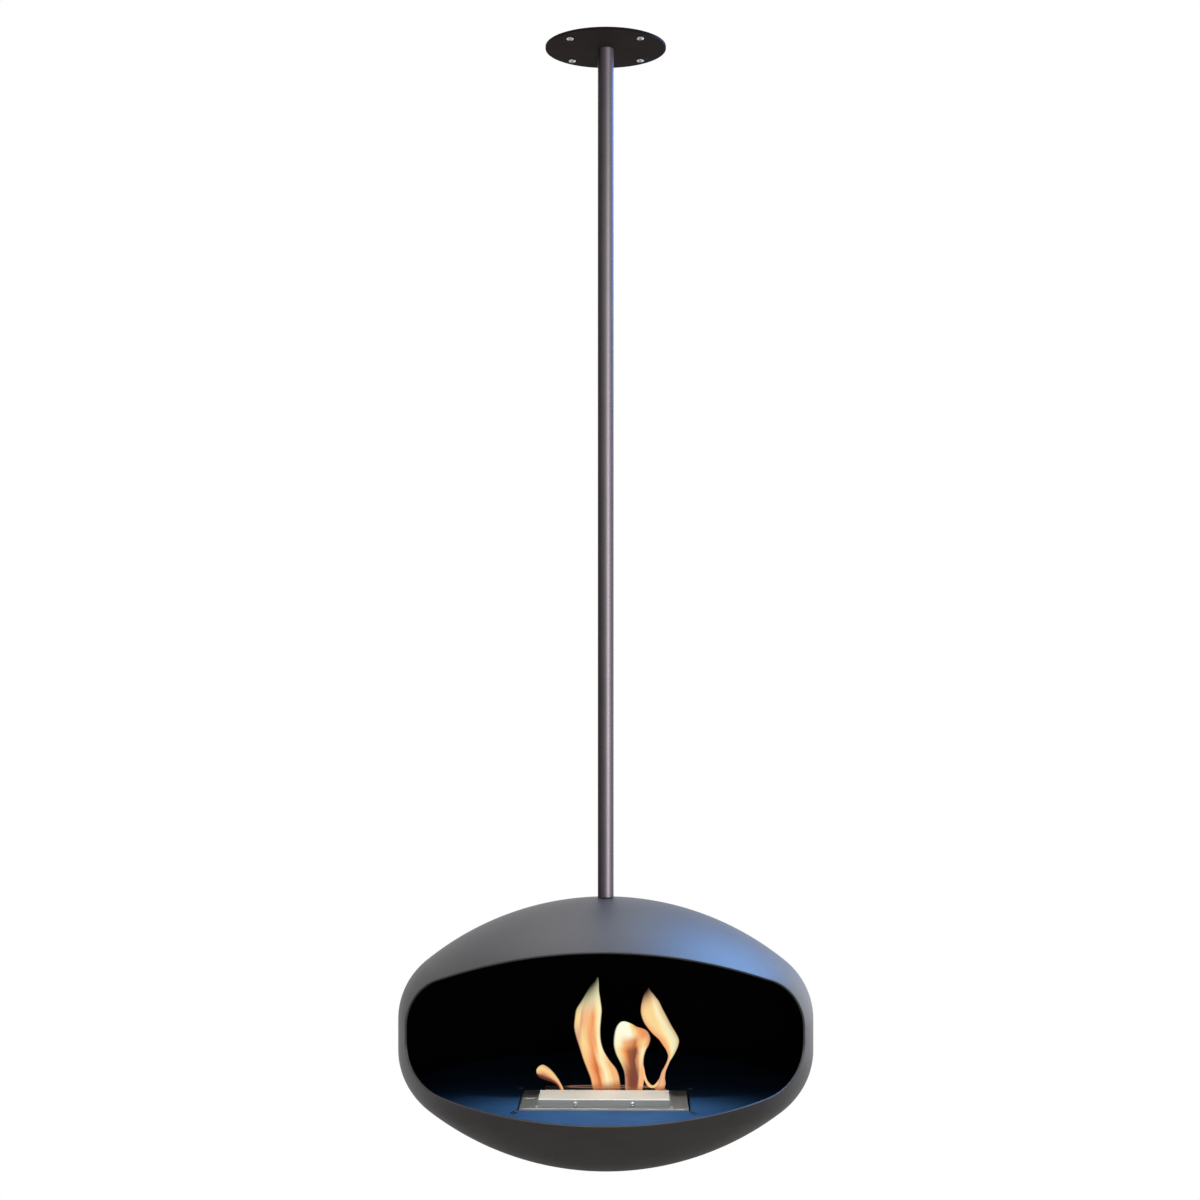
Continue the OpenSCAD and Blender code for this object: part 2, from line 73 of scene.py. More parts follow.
# Points closer than this are one point
WELD = 1e-6
PHOTO_PIXELS = 1200
SENSOR_MM = 36.0

# Places that the frame gives
POD_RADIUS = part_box("lower_shell")[1].x
SEAM_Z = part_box("lower_shell")[1].z
HEAD_HEIGHT = SEAM_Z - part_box("lower_shell")[0].z
DECK_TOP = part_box("deck")[1].z
PLATE_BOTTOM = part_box("ceiling_plate")[0].z
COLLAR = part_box("burner_collar")
SLOT_Y = (COLLAR[0].y + COLLAR[1].y) / 2
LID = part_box("burner_lid")


def linear(hex_colour):
    """An sRGB hex colour as linear red, green, blue and alpha."""
    value = int(hex_colour.lstrip("#"), 16)
    srgb = np.array([value >> 16 & 255, value >> 8 & 255, value & 255]) / 255
    rgb = np.where(srgb <= 0.04045, srgb / 12.92, ((srgb + 0.055) / 1.055) ** 2.4)
    return (*rgb.tolist(), 1.0)


def length(name, description, default):
    """A property that holds a length in metres."""
    return FloatProperty(name=name, description=description, default=default, unit="LENGTH", precision=4)


def number(name, description, default):
    """A property that holds a share or a strength."""
    return FloatProperty(name=name, description=description, default=default, min=0)


def angle(name, description, degrees):
    """A property that holds an angle."""
    return FloatProperty(name=name, description=description, default=math.radians(degrees), subtype="ANGLE")


def colour(name, description, hex_colour):
    """A property that holds a colour."""
    return FloatVectorProperty(
        name=name, description=description, default=linear(hex_colour), size=4, subtype="COLOR", min=0, max=1
    )


class PodSizes(PropertyGroup):
    """Sizes of the pod's two dished heads and of the mouth cut through them."""

    crown_radius: length("Crown radius", "Outside radius of each head's crown", 0.417)
    knuckle_radius: length("Knuckle radius", "Outside radius of each head's knuckle", 0.100)
    sheet: length("Sheet", "Thickness of the pod's sheet", 0.003)
    shaft_hole: length("Shaft hole", "Radius of the crown's hole for the swivel shaft", 0.0085)
    mouth_side: length("Mouth side", "Half width of the mouth", 0.280)
    mouth_top: length("Mouth top", "Height of the mouth's top edge above the seam", 0.140)
    lip_rise: length("Lip rise", "Height of the mouth's bottom edge above the deck", 0.0005)
    top_arc: length("Top arc", "Radius of the mouth's long top arc", 0.600)
    bottom_arc: length("Bottom arc", "Radius of the mouth's long bottom arc", 1.300)
    upper_corner: length("Upper corners", "Radius of the mouth's upper corners", 0.078)
    lower_corner: length("Lower corners", "Radius of the mouth's lower corners", 0.065)
    edge_round: length("Edge round", "Rounding of the mouth's dressed edge", 0.0009)
    edge_columns: IntProperty(
        name="Edge columns", description="Mesh columns along half the mouth's edge", default=96
    )
    seam_columns: IntProperty(name="Seam columns", description="Mesh columns along half the seam", default=72)
    rows: IntProperty(name="Rows", description="Mesh rows from a head's middle to its rim", default=72)


class BurnerSizes(PropertyGroup):
    """Sizes of the small turned and folded pieces on the burner and the ceiling plate."""

    stud_pitch: length("Stud spacing", "Spacing of the two studs on the lid's front", 0.078)
    stud_radius: length("Stud radius", "Radius of each stud's head", 0.003)
    stud_proud: length("Stud height", "Distance that each stud stands proud", 0.0025)
    broken_edge: length("Broken edge", "Width of the edge broken on sheet-metal pieces", 0.0004)
    screw_circle: length("Screw circle", "Radius of the circle of ceiling screws", 0.071)
    screw_head: length("Screw head", "Radius of each ceiling screw's head", 0.0052)
    screw_height: length("Screw height", "Height of each ceiling screw's head", 0.0030)
    screw_shank: length("Screw shank", "Radius of each ceiling screw's shank", 0.003)


class FlameSizes(PropertyGroup):
    """How the flames stand in the slot."""

    depth_share: number("Depth", "Thickness of a flame as a share of its width", 0.42)
    max_depth: length("Thickest", "Greatest half thickness of a flame", 0.0075)
    back_bend: number("Back bend", "How far the flames bend to the back, per square of their height", 0.62)
    sink_turn: angle("Sink turn", "How far the right flame leans inwards as it sinks into the fuel box", 10)
    glow: number("Glow", "Strength of the flames' light", 1.0)
    shut_height: length("Shut height", "Height of the sunken flames above the wick", 0.003)
    shut_share: number("Shut share", "Share of the flames' height left under the closed lid", 0.02)


class Finishes(PropertyGroup):
    """Colours of the coats and metals."""

    coat_pod: colour("Pod coat", "Charcoal powder coat", "#262427")
    coat_pole: colour("Pole coat", "Satin black powder coat", "#0e0c0d")
    coat_plate: colour("Plate coat", "Matt brown-black powder coat", "#2a2424")
    coat_inside: colour("Inside coat", "Matt black stove paint", "#040405")
    # The deck's bright blue is painted sky light on a blue-black coat
    coat_deck: colour("Deck coat", "Blue-black coat with painted sky light", "#345d90")
    stainless: colour("Stainless steel", "Brushed stainless steel", "#b3b8b9")
    # The lid's top is painted near white as if lit from above, and its skirt darker as if in shade: painted
    # light and painted shade on one stainless sheet
    stainless_lid: colour("Lid steel", "Lid's top, painted pale as if lit", "#eef0ea")
    stainless_skirt: colour("Lid skirt steel", "Lid's front skirt, painted darker as if shaded", "#7d8080")
    # The collar's steel takes a darker colour than the tray's
    stainless_dark: colour("Collar steel", "Stainless steel in a darker colour", "#5a5856")
    polished: colour("Polished steel", "Polished stainless steel", "#dedcd6")
    mild_steel: colour("Mild steel", "Bright mild steel", "#a3a3a5")
    zinc: colour("Zinc", "Zinc plate", "#c3c6ca")
    screw_paint: colour("Screw paint", "Dark paint on the small screws", "#2b3039")
    acetal: colour("Acetal", "Black slip washer", "#161617")
    bronze: colour("Bronze", "Sintered bronze", "#b08a4c")
    wool: colour("Ceramic wool", "White ceramic wool", "#e6e1d3")


class StageSettings(PropertyGroup):
    """Floor, lamps and camera."""

    floor_drop: length("Floor drop", "Distance from the pod's bottom to the floor", 0.90)
    floor_radius: length("Floor radius", "Radius of the round floor", 2.8)
    floor_fade: number("Floor fade", "Share of the floor's radius where it begins to fade out", 0.4)
    floor_end: number("Floor end", "Share of the floor's radius where it has faded out", 0.96)
    floor_lift: number("Floor lift", "Least share of white in the floor that the camera sees", 0.6)
    spot_softness: length("Spot softness", "Radius of the spot lamp's source", 0.08)
    ambient: number("Ambient", "Strength of the soft light from all round", 0.15)
    camera_distance: length("Camera distance", "Distance from the pole's axis", 2.910)
    camera_rise: length("Camera rise", "Height of the camera above the pod's seam", 0.4905)
    camera_side: length("Camera side", "Distance of the pole to the right of the picture's middle", 0.0083)
    camera_turn: angle("Camera turn", "How far the camera stands to the right of the mouth's direction", 1)
    horizon_pixel: number("Horizon", "Pixel row of the horizon in the photograph", 693)
    focal_pixels: number("Focal length", "Focal length in pixels of the photograph", 2003)


def grid_faces(rows, columns, wrap_rows=False, wrap_columns=False, flip=False):
    """Quads that join each point (r, c) of a grid to its next row and next column, as index arrays."""
    r = np.arange(rows if wrap_rows else rows - 1)
    c = np.arange(columns if wrap_columns else columns - 1)
    r, c = np.meshgrid(r, c, indexing="ij")
    row, next_row = r * columns, (r + 1) % rows * columns
    next_c = (c + 1) % columns
    quads = np.stack([row + c, row + next_c, next_row + next_c, next_row + c], -1).reshape(-1, 4)
    return quads[:, ::-1] if flip else quads


def build_piece(name, patches, materials, sharp_deg=30):
    """Makes one object from patches of (points, quads, material index, uv or None)."""
    offsets = np.cumsum([0] + [len(p[0]) for p in patches[:-1]])
    points = np.concatenate([p[0] for p in patches])
    quads = np.concatenate([p[1] + start for p, start in zip(patches, offsets)])
    slots = np.concatenate([np.broadcast_to(p[2], len(p[1])) for p in patches])
    mesh = bpy.data.meshes.new(name)
    mesh.from_pydata(points.tolist(), [], quads.tolist())
    mesh.polygons.foreach_set("material_index", slots.astype(np.int32))
    if patches[0][3] is not None:
        uv = np.concatenate([p[3][p[1].ravel()] for p in patches])
        mesh.uv_layers.new(name="UVMap").data.foreach_set("uv", uv.astype(np.float32).ravel())
    made = bpy.data.objects.new(name, mesh)
    bpy.context.scene.collection.objects.link(made)
    clean_mesh(mesh, sharp_deg)
    for material in materials:
        mesh.materials.append(material)
    return made


def clean_mesh(mesh, sharp_deg=30, flat_deg=0.0):
    """Merges points that lie together, which closes poles and seams, and shades smooth up to sharp_deg.
    Triangles that are flat within flat_deg become one face, so that only true edges are bevelled."""
    work = bmesh.new()
    work.from_mesh(mesh)
    bmesh.ops.remove_doubles(work, verts=work.verts, dist=WELD)
    bmesh.ops.dissolve_degenerate(work, edges=work.edges, dist=WELD)
    if flat_deg:
        bmesh.ops.dissolve_limit(work, angle_limit=math.radians(flat_deg), verts=work.verts, edges=work.edges)
    work.to_mesh(mesh)
    work.free()
    mesh.update()
    mesh.polygons.foreach_set("use_smooth", np.ones(len(mesh.polygons), bool))
    mesh.set_sharp_from_angle(angle=math.radians(sharp_deg))


def smooth_through(values, per_span):
    """Catmull-Rom curve through rows of values, all columns at once, with per_span steps between rows."""
    values = np.asarray(values, float)
    ends = np.concatenate([[2 * values[0] - values[1]], values, [2 * values[-1] - values[-2]]])
    t = np.arange(per_span)[None, :, None] / per_span
    a, b, c, d = (ends[i:len(ends) - 3 + i, None, :] for i in range(4))
    spans = 0.5 * (2 * b + (c - a) * t + (2 * a - 5 * b + 4 * c - d) * t**2 + (3 * b - a - 3 * c + d) * t**3)
    return np.concatenate([spans.reshape(-1, values.shape[1]), values[-1:]])


def turned(radii, heights, columns, outline=np.ones_like):
    """Surface of revolution: each profile point (radius, height) goes round the Z axis in even steps. outline
    gives what each radius is multiplied by at a turn."""
    turn = np.linspace(0, 2 * np.pi, columns, endpoint=False)
    radii = np.asarray(radii, float)[:, None] * outline(turn)
    heights = np.asarray(heights, float)[:, None] * np.ones(columns)
    return np.stack([radii * np.cos(turn), radii * np.sin(turn), heights], -1).reshape(-1, 3)


class HeadCurve:
    """A dished head's profile by arc length from its axis: crown arc, tangent knuckle arc, straight band."""

    def __init__(self, sizes):
        self.crown = sizes.crown_radius
        self.knuckle = sizes.knuckle_radius
        self.knuckle_x = POD_RADIUS - self.knuckle
        self.crown_z = HEAD_HEIGHT - self.crown
        self.half_band = self.crown_z + math.sqrt((self.crown - self.knuckle) ** 2 - self.knuckle_x**2)
        self.join = math.atan2(self.knuckle_x, self.half_band - self.crown_z)
        self.crown_end = self.crown * self.join
        self.knuckle_end = self.crown_end + self.knuckle * (math.pi / 2 - self.join)
        self.rim = self.knuckle_end + self.half_band

    def tilt(self, along):
        """Angle of the surface normal from the vertical."""
        knuckle = self.join + (along - self.crown_end) / self.knuckle
        return np.minimum(np.where(along < self.crown_end, along / self.crown, knuckle), math.pi / 2)

    def at(self, along, turn, inset=0.0):
        """Points at arc length along and turn from the front, set inwards by inset along the normal."""
        tilt = self.tilt(along)
        out, up = np.sin(tilt), np.cos(tilt)
        on_crown = along < self.crown_end
        radius = np.where(on_crown, self.crown * out, self.knuckle_x + self.knuckle * out)
        height = np.where(on_crown, self.crown_z + self.crown * up, self.half_band + self.knuckle * up)
        height = np.where(along > self.knuckle_end, self.rim - along, height)
        radius = radius - inset * out
        height = height - inset * up
        return np.stack([radius * np.sin(turn), -radius * np.cos(turn), height], -1)

    def normal(self, along, turn):
        """Outward unit normals there."""
        tilt = self.tilt(along)
        return np.stack([np.sin(tilt) * np.sin(turn), -np.sin(tilt) * np.cos(turn), np.cos(tilt)], -1)

    def find(self, x, z):
        """Arc length and turn of the front points whose front view is at x, z."""
        crown = np.arccos(np.clip((z - self.crown_z) / self.crown, -1, 1)) * self.crown
        lean = np.arccos(np.clip((z - self.half_band) / self.knuckle, -1, 1))
        knuckle = self.crown_end + (lean - self.join) * self.knuckle
        join_z = self.crown_z + self.crown * math.cos(self.join)
        along = np.where(z >= join_z, crown, np.where(z >= self.half_band, knuckle, self.rim - z))
        flat = self.at(along, np.zeros_like(along))
        return along, np.arcsin(np.clip(x / -flat[..., 1], -1, 1))


def arc(centre, radius, start, end, steps):
    """Points of an arc about centre, from angle start to angle end."""
    a = np.linspace(start, end, steps)
    return np.stack([centre[0] + radius * np.cos(a), centre[1] + radius * np.sin(a)], -1)


def mouth_outline(sizes):
    """Right half of the mouth's front view, bottom to top: four tangent arcs and a short upright."""
    steps = 200
    bottom_z = DECK_TOP - SEAM_Z + sizes.lip_rise + sizes.bottom_arc
    top_z = sizes.mouth_top - sizes.top_arc
    low_x = sizes.mouth_side - sizes.lower_corner
    high_x = sizes.mouth_side - sizes.upper_corner
    low_z = bottom_z - math.sqrt((sizes.bottom_arc - sizes.lower_corner) ** 2 - low_x**2)
    high_z = top_z + math.sqrt((sizes.top_arc - sizes.upper_corner) ** 2 - high_x**2)
    low_turn = math.atan2(low_z - bottom_z, low_x)
    high_turn = math.atan2(high_z - top_z, high_x)
    return np.concatenate([
        arc((0, bottom_z), sizes.bottom_arc, -math.pi / 2, low_turn, steps),
        arc((low_x, low_z), sizes.lower_corner, low_turn, 0, steps)[1:],
        arc((high_x, high_z), sizes.upper_corner, 0, high_turn, steps),
        arc((0, top_z), sizes.top_arc, high_turn, math.pi / 2, steps)[1:],
    ])


def resample(points, count):
    """The same polyline with count points, evenly spaced along it."""
    run = np.concatenate([[0], np.cumsum(np.linalg.norm(np.diff(points, axis=0), axis=1))])
    even = np.linspace(0, run[-1], count)
    return np.stack([np.interp(even, run, points[:, i]) for i in range(points.shape[1])], -1)


def head_patches(sizes, upper):
    """One dished head as a grid: columns run from its middle to the mouth's edge or the seam, and rows go
    outside skin, rounded edge, inside skin. Between the middle and the rim both the arc length and the turn
    go in a straight line, so that every point lies exactly on the head."""
    curve = HeadCurve(sizes)
    outline = mouth_outline(sizes)
    outline = outline[np.concatenate([[True], np.any(np.diff(outline, axis=0) != 0, axis=1)])]
    cross = np.searchsorted(outline[:, 1], 0.0)
    share = -outline[cross - 1, 1] / (outline[cross, 1] - outline[cross - 1, 1])
    seam_point = outline[cross - 1] + share * (outline[cross] - outline[cross - 1])
    if upper:
        edge = np.concatenate([[seam_point], outline[cross:]])[::-1]
    else:
        edge = np.concatenate([outline[:cross], [seam_point]])
    edge = resample(edge, sizes.edge_columns)
    along, turn = curve.find(edge[:, 0], np.abs(edge[:, 1]))
    seam_turn = np.linspace(turn[-1], math.pi, sizes.seam_columns + 1)[1:]
    along = np.concatenate([along, np.full(len(seam_turn), curve.rim)])
    turn = np.concatenate([turn, seam_turn])
    along = np.concatenate([along, along[-2:0:-1]])
    turn = np.concatenate([turn, 2 * math.pi - turn[-2:0:-1]])
    count = len(along)
    at_mouth = np.minimum(np.arange(count), count - np.arange(count)) < sizes.edge_columns
    rounding = np.where(at_mouth, sizes.edge_round, 0.0)[:, None]

    # Along the skin and square to the edge, into points away from the edge
    rim = curve.at(along, turn)
    outward = curve.normal(along, turn)
    run = np.roll(rim, -1, axis=0) - np.roll(rim, 1, axis=0)
    a_little_back = 0.98
    to_middle = curve.at(along * a_little_back, turn) - rim
    into = np.cross(outward, run)
    into *= np.sign(into[0] @ to_middle[0]) / np.linalg.norm(into, axis=1, keepdims=True)
    corner = sizes.edge_columns - 1
    for column, side in ((corner, 1), (count - corner, -1)):
        into[column] = np.cross((0, 0, side), outward[column])

    # The skin ends where the edge's rounding begins
    round_dir = np.stack([np.cos(turn), np.sin(turn), np.zeros(count)], -1)
    down_dir = np.cross(outward, round_dir)
    down_dir *= -np.sign(np.sum(down_dir * to_middle, 1, keepdims=True))
    shift = rounding[:, 0]
    radius = np.linalg.norm(rim[:, :2], axis=1)
    end_along = along + shift * np.sum(into * down_dir, 1)
    end_turn = turn + shift * np.sum(into * round_dir, 1) / radius

    centre = sizes.shaft_hole if upper else 0.0
    even = 2 * math.pi * np.arange(count) / count
    start_turn = (turn + even) / 2
    share = np.linspace(0, 1, sizes.rows)[:, None]
    all_along = centre + (end_along - centre) * share
    all_turn = start_turn + (end_turn - start_turn) * share
    outside = curve.at(all_along, all_turn)
    inside = curve.at(all_along, all_turn, sizes.sheet)[::-1]
    round_steps = 5
    bend = np.linspace(0, math.pi / 2, round_steps)[:, None, None]
    first = rim + into * rounding * (1 - np.sin(bend)) - outward * rounding * (1 - np.cos(bend))
    deep = sizes.sheet - rounding + rounding * np.sin(bend)
    second = rim + into * rounding * (1 - np.cos(bend)) - outward * deep
    rows = np.concatenate([outside, first[1:], second[:-1], inside])
    quads = grid_faces(len(rows), count, wrap_rows=upper, wrap_columns=True, flip=True)
    inner = np.zeros((len(rows) - (0 if upper else 1), count), int)
    inner[len(rows) - len(inside):] = 1
    points = rows.reshape(-1, 3)
    if not upper:
        points = points * (1, 1, -1)
        quads = quads[:, ::-1]
    return [(points + (0, 0, SEAM_Z), quads, inner.ravel(), None)]


def add_node(tree, kind, settings=None, inputs=None, stops=()):
    """Adds a shader node, sets its own settings and its ramp's (place, colour) stops, then fills each input
    by name or number: outputs are linked, and a node stands for its first output."""
    made = tree.nodes.new("ShaderNode" + kind)
    for name, value in (settings or {}).items():
        setattr(made, name, value)
    for index, (place, value) in enumerate(stops):
        elements = made.color_ramp.elements
        element = elements[index] if index < len(elements) else elements.new(1.0)
        element.position = place
        element.color = value
    for name, value in (inputs or {}).items():
        if isinstance(value, bpy.types.Node):
            value = value.outputs[0]
        if isinstance(value, bpy.types.NodeSocket):
            tree.links.new(value, made.inputs[name])
        else:
            made.inputs[name].default_value = value
    return made


def new_material(name):
    """An empty node material and its tree."""
    material = bpy.data.materials.new(name)
    material.use_nodes = True
    material.node_tree.nodes.clear()
    return material, material.node_tree


def per_mm(size_mm):
    """Scale of a pattern on metre coordinates whose features are size_mm across."""
    return 1000.0 / size_mm


def tinted(rgba, factor):
    """The same colour, lighter or darker."""
    return (*(min(1.0, c * factor) for c in rgba[:3]), 1.0)


# Noise mostly lies between these values
NOISE_LOW, NOISE_HIGH = 0.3, 0.7
SPREAD = {"From Min": NOISE_LOW, "From Max": NOISE_HIGH}
EASED = {"interpolation_type": "SMOOTHSTEP"}
COLOURS = {"data_type": "RGBA"}
# How far a pattern moves a coat's roughness to either side
ROUGH_SPREAD = 0.05
# Near black of the painted shade over the deck's back
PAINTED_SHADE = linear("#07080b")
FIBRE_SOOT = linear("#3b2e24")


def clouded(rgba, darkest, lightest):
    """Ramp stops that vary a colour over the range of a noise."""
    return [(NOISE_LOW, tinted(rgba, darkest)), (NOISE_HIGH, tinted(rgba, lightest))]


def finish_surface(tree, base, pattern, rough, depth_mm, **uniform):
    """Ends a tree in one Principled node: the pattern varies the roughness between rough's two values and
    raises a bump of depth_mm, and the uniform values stand on the shader's own sockets."""
    roughness = add_node(tree, "MapRange", inputs={
        "Value": pattern, **SPREAD, "To Min": rough[0], "To Max": rough[1]})
    bump = add_node(tree, "Bump", inputs={"Strength": 1.0, "Distance": depth_mm * MM, "Height": pattern})
    surface = add_node(tree, "BsdfPrincipled", inputs={
        "Base Color": base, "Roughness": roughness, "Normal": bump, **uniform})
    add_node(tree, "OutputMaterial", inputs={"Surface": surface})


def powder_coat(name, rgba, rough, specular, grain_mm=1.4, depth_mm=0.035, soot_and_shade=None):
    """Sprayed and baked powder: a fine orange-peel grain that breaks up the shine, a little uneven in tone.
    Given two depths, painted shade of the pod darkens it towards the back, from the first to the second."""
    material, tree = new_material(name)
    place = add_node(tree, "TexCoord").outputs["Object"]
    cloud_mm = 70
    # The real grain is near 0.4 mm and is drawn coarser, so that it shows
    grain = add_node(tree, "TexNoise", inputs={
        "Vector": place, "Scale": per_mm(grain_mm), "Detail": 3.0, "Roughness": 0.6})
    cloud = add_node(tree, "TexNoise", inputs={
        "Vector": place, "Scale": per_mm(cloud_mm), "Detail": 4.0, "Roughness": 0.65})
    base = add_node(tree, "ValToRGB", inputs={"Fac": cloud}, stops=clouded(rgba, 0.86, 1.16))
    if soot_and_shade is not None:
        # Painted shade of the pod over the deck: its edge wanders, and it never darkens the coat entirely
        wander, deepest_shade = 60 * MM, 0.8
        depth = add_node(tree, "SeparateXYZ", inputs={"Vector": place}).outputs["Y"]
        drift = add_node(tree, "Math", settings={"operation": "MULTIPLY_ADD"}, inputs={
            0: cloud, 1: wander, 2: depth})
        share = add_node(tree, "MapRange", settings=EASED, inputs={
            "Value": drift, "From Min": soot_and_shade[0], "From Max": soot_and_shade[1], "To Max": deepest_shade})
        base = add_node(tree, "Mix", settings=COLOURS, inputs={0: share, 6: base, 7: PAINTED_SHADE}).outputs[2]
    finish_surface(
        tree, base, grain, (rough - ROUGH_SPREAD, rough + ROUGH_SPREAD), depth_mm,
        **{"Specular IOR Level": specular},
    )
    return material


def brushed_steel(name, rgba, rough, film=0.0, skirt=None):
    """Stainless sheet rubbed one way with fine grit: long streaks that stretch each highlight across them. A
    film of heat-grown oxide over a share of it dulls the mirror into a soft pale skin. A darker skirt colour,
    painted shade, takes over below the lid's top fold."""
    material, tree = new_material(name)
    place = add_node(tree, "TexCoord").outputs["Object"]
    # Real grit lines are near 0.1 mm wide and are drawn coarser, so that they show
    line_mm, line_length_mm, depth_mm, spread = 0.7, 60, 0.01, 0.08
    stretched = add_node(tree, "Mapping", inputs={
        "Vector": place, "Scale": (per_mm(line_length_mm), per_mm(line_mm), per_mm(line_mm))})
    streaks = add_node(tree, "TexNoise", inputs={
        "Vector": stretched, "Scale": 1.0, "Detail": 3.0, "Roughness": 0.7})
    base = add_node(tree, "ValToRGB", inputs={"Fac": streaks}, stops=clouded(rgba, 0.78, 1.1))
    # Painted shade: below the fold the lid's skirt takes a darker colour than its top
    if skirt is not None:
        shaded_skirt = add_node(tree, "ValToRGB", inputs={"Fac": streaks}, stops=clouded(skirt, 0.78, 1.1))
        height = add_node(tree, "SeparateXYZ", inputs={"Vector": place}).outputs["Z"]
        fold = add_node(tree, "MapRange", settings=EASED, inputs={
            "Value": height, "From Min": LID[1].z - 2 * MM, "From Max": LID[1].z - 0.6 * MM})
        base = add_node(tree, "Mix", settings=COLOURS, inputs={0: fold, 6: shaded_skirt, 7: base}).outputs[2]
    finish_surface(tree, base, streaks, (rough - spread, rough + spread), depth_mm, Metallic=1 - film)
    return material


def turned_metal(name, rgba, rough, pit_mm=0.9, contrast=0.15):
    """Turned, plated or pressed metal: an even skin with fine clouding from the machining or the plate."""
    material, tree = new_material(name)
    place = add_node(tree, "TexCoord").outputs["Object"]
    skin = add_node(tree, "TexNoise", inputs={
        "Vector": place, "Scale": per_mm(pit_mm), "Detail": 4.0, "Roughness": 0.6})
    base = add_node(tree, "ValToRGB", inputs={"Fac": skin}, stops=clouded(rgba, 1 - contrast, 1 + contrast))
    depth_mm = 0.01
    finish_surface(tree, base, skin, (rough - ROUGH_SPREAD, rough + 0.07), depth_mm, Metallic=1.0)
    return material


def acetal_plastic(name, rgba):
    """Machined acetal: waxy low sheen with faint tool marks."""
    material, tree = new_material(name)
    place = add_node(tree, "TexCoord").outputs["Object"]
    ring_mm, depth_mm = 4, 0.01
    marks = add_node(tree, "TexWave", settings={"wave_type": "RINGS", "rings_direction": "Z"}, inputs={
        "Vector": place, "Scale": per_mm(ring_mm), "Distortion": 0.4, "Detail": 2.0}).outputs["Fac"]
    base = add_node(tree, "ValToRGB", inputs={"Fac": marks}, stops=clouded(rgba, 0.85, 1.2))
    finish_surface(tree, base, marks, (0.38, 0.46), depth_mm)
    return material


def ceramic_wool(name, rgba):
    """Needled ceramic fibre: matt white fibres a few millimetres long, browned by soot here and there."""
    material, tree = new_material(name)
    place = add_node(tree, "TexCoord").outputs["Object"]
    fibre_mm, patch_mm, depth_mm = 2.5, 35, 0.4
    fibres = add_node(tree, "TexNoise", inputs={
        "Vector": place, "Scale": per_mm(fibre_mm), "Detail": 6.0, "Roughness": 0.75, "Distortion": 1.5})
    soot_and_shade = add_node(tree, "TexNoise", inputs={"Vector": place, "Scale": per_mm(patch_mm), "Detail": 3.0})
    clean = add_node(tree, "ValToRGB", inputs={"Fac": fibres}, stops=clouded(rgba, 0.7, 1.0))
    share = add_node(tree, "MapRange", inputs={
        "Value": soot_and_shade, "From Min": 0.45, "From Max": 0.75, "To Min": 0.0, "To Max": 0.8})
    base = add_node(tree, "Mix", settings=COLOURS, inputs={0: share, 6: clean, 7: FIBRE_SOOT}).outputs[2]
    finish_surface(tree, base, fibres, (0.93, 0.97), depth_mm, **{"Specular IOR Level": 0.2})
    return material


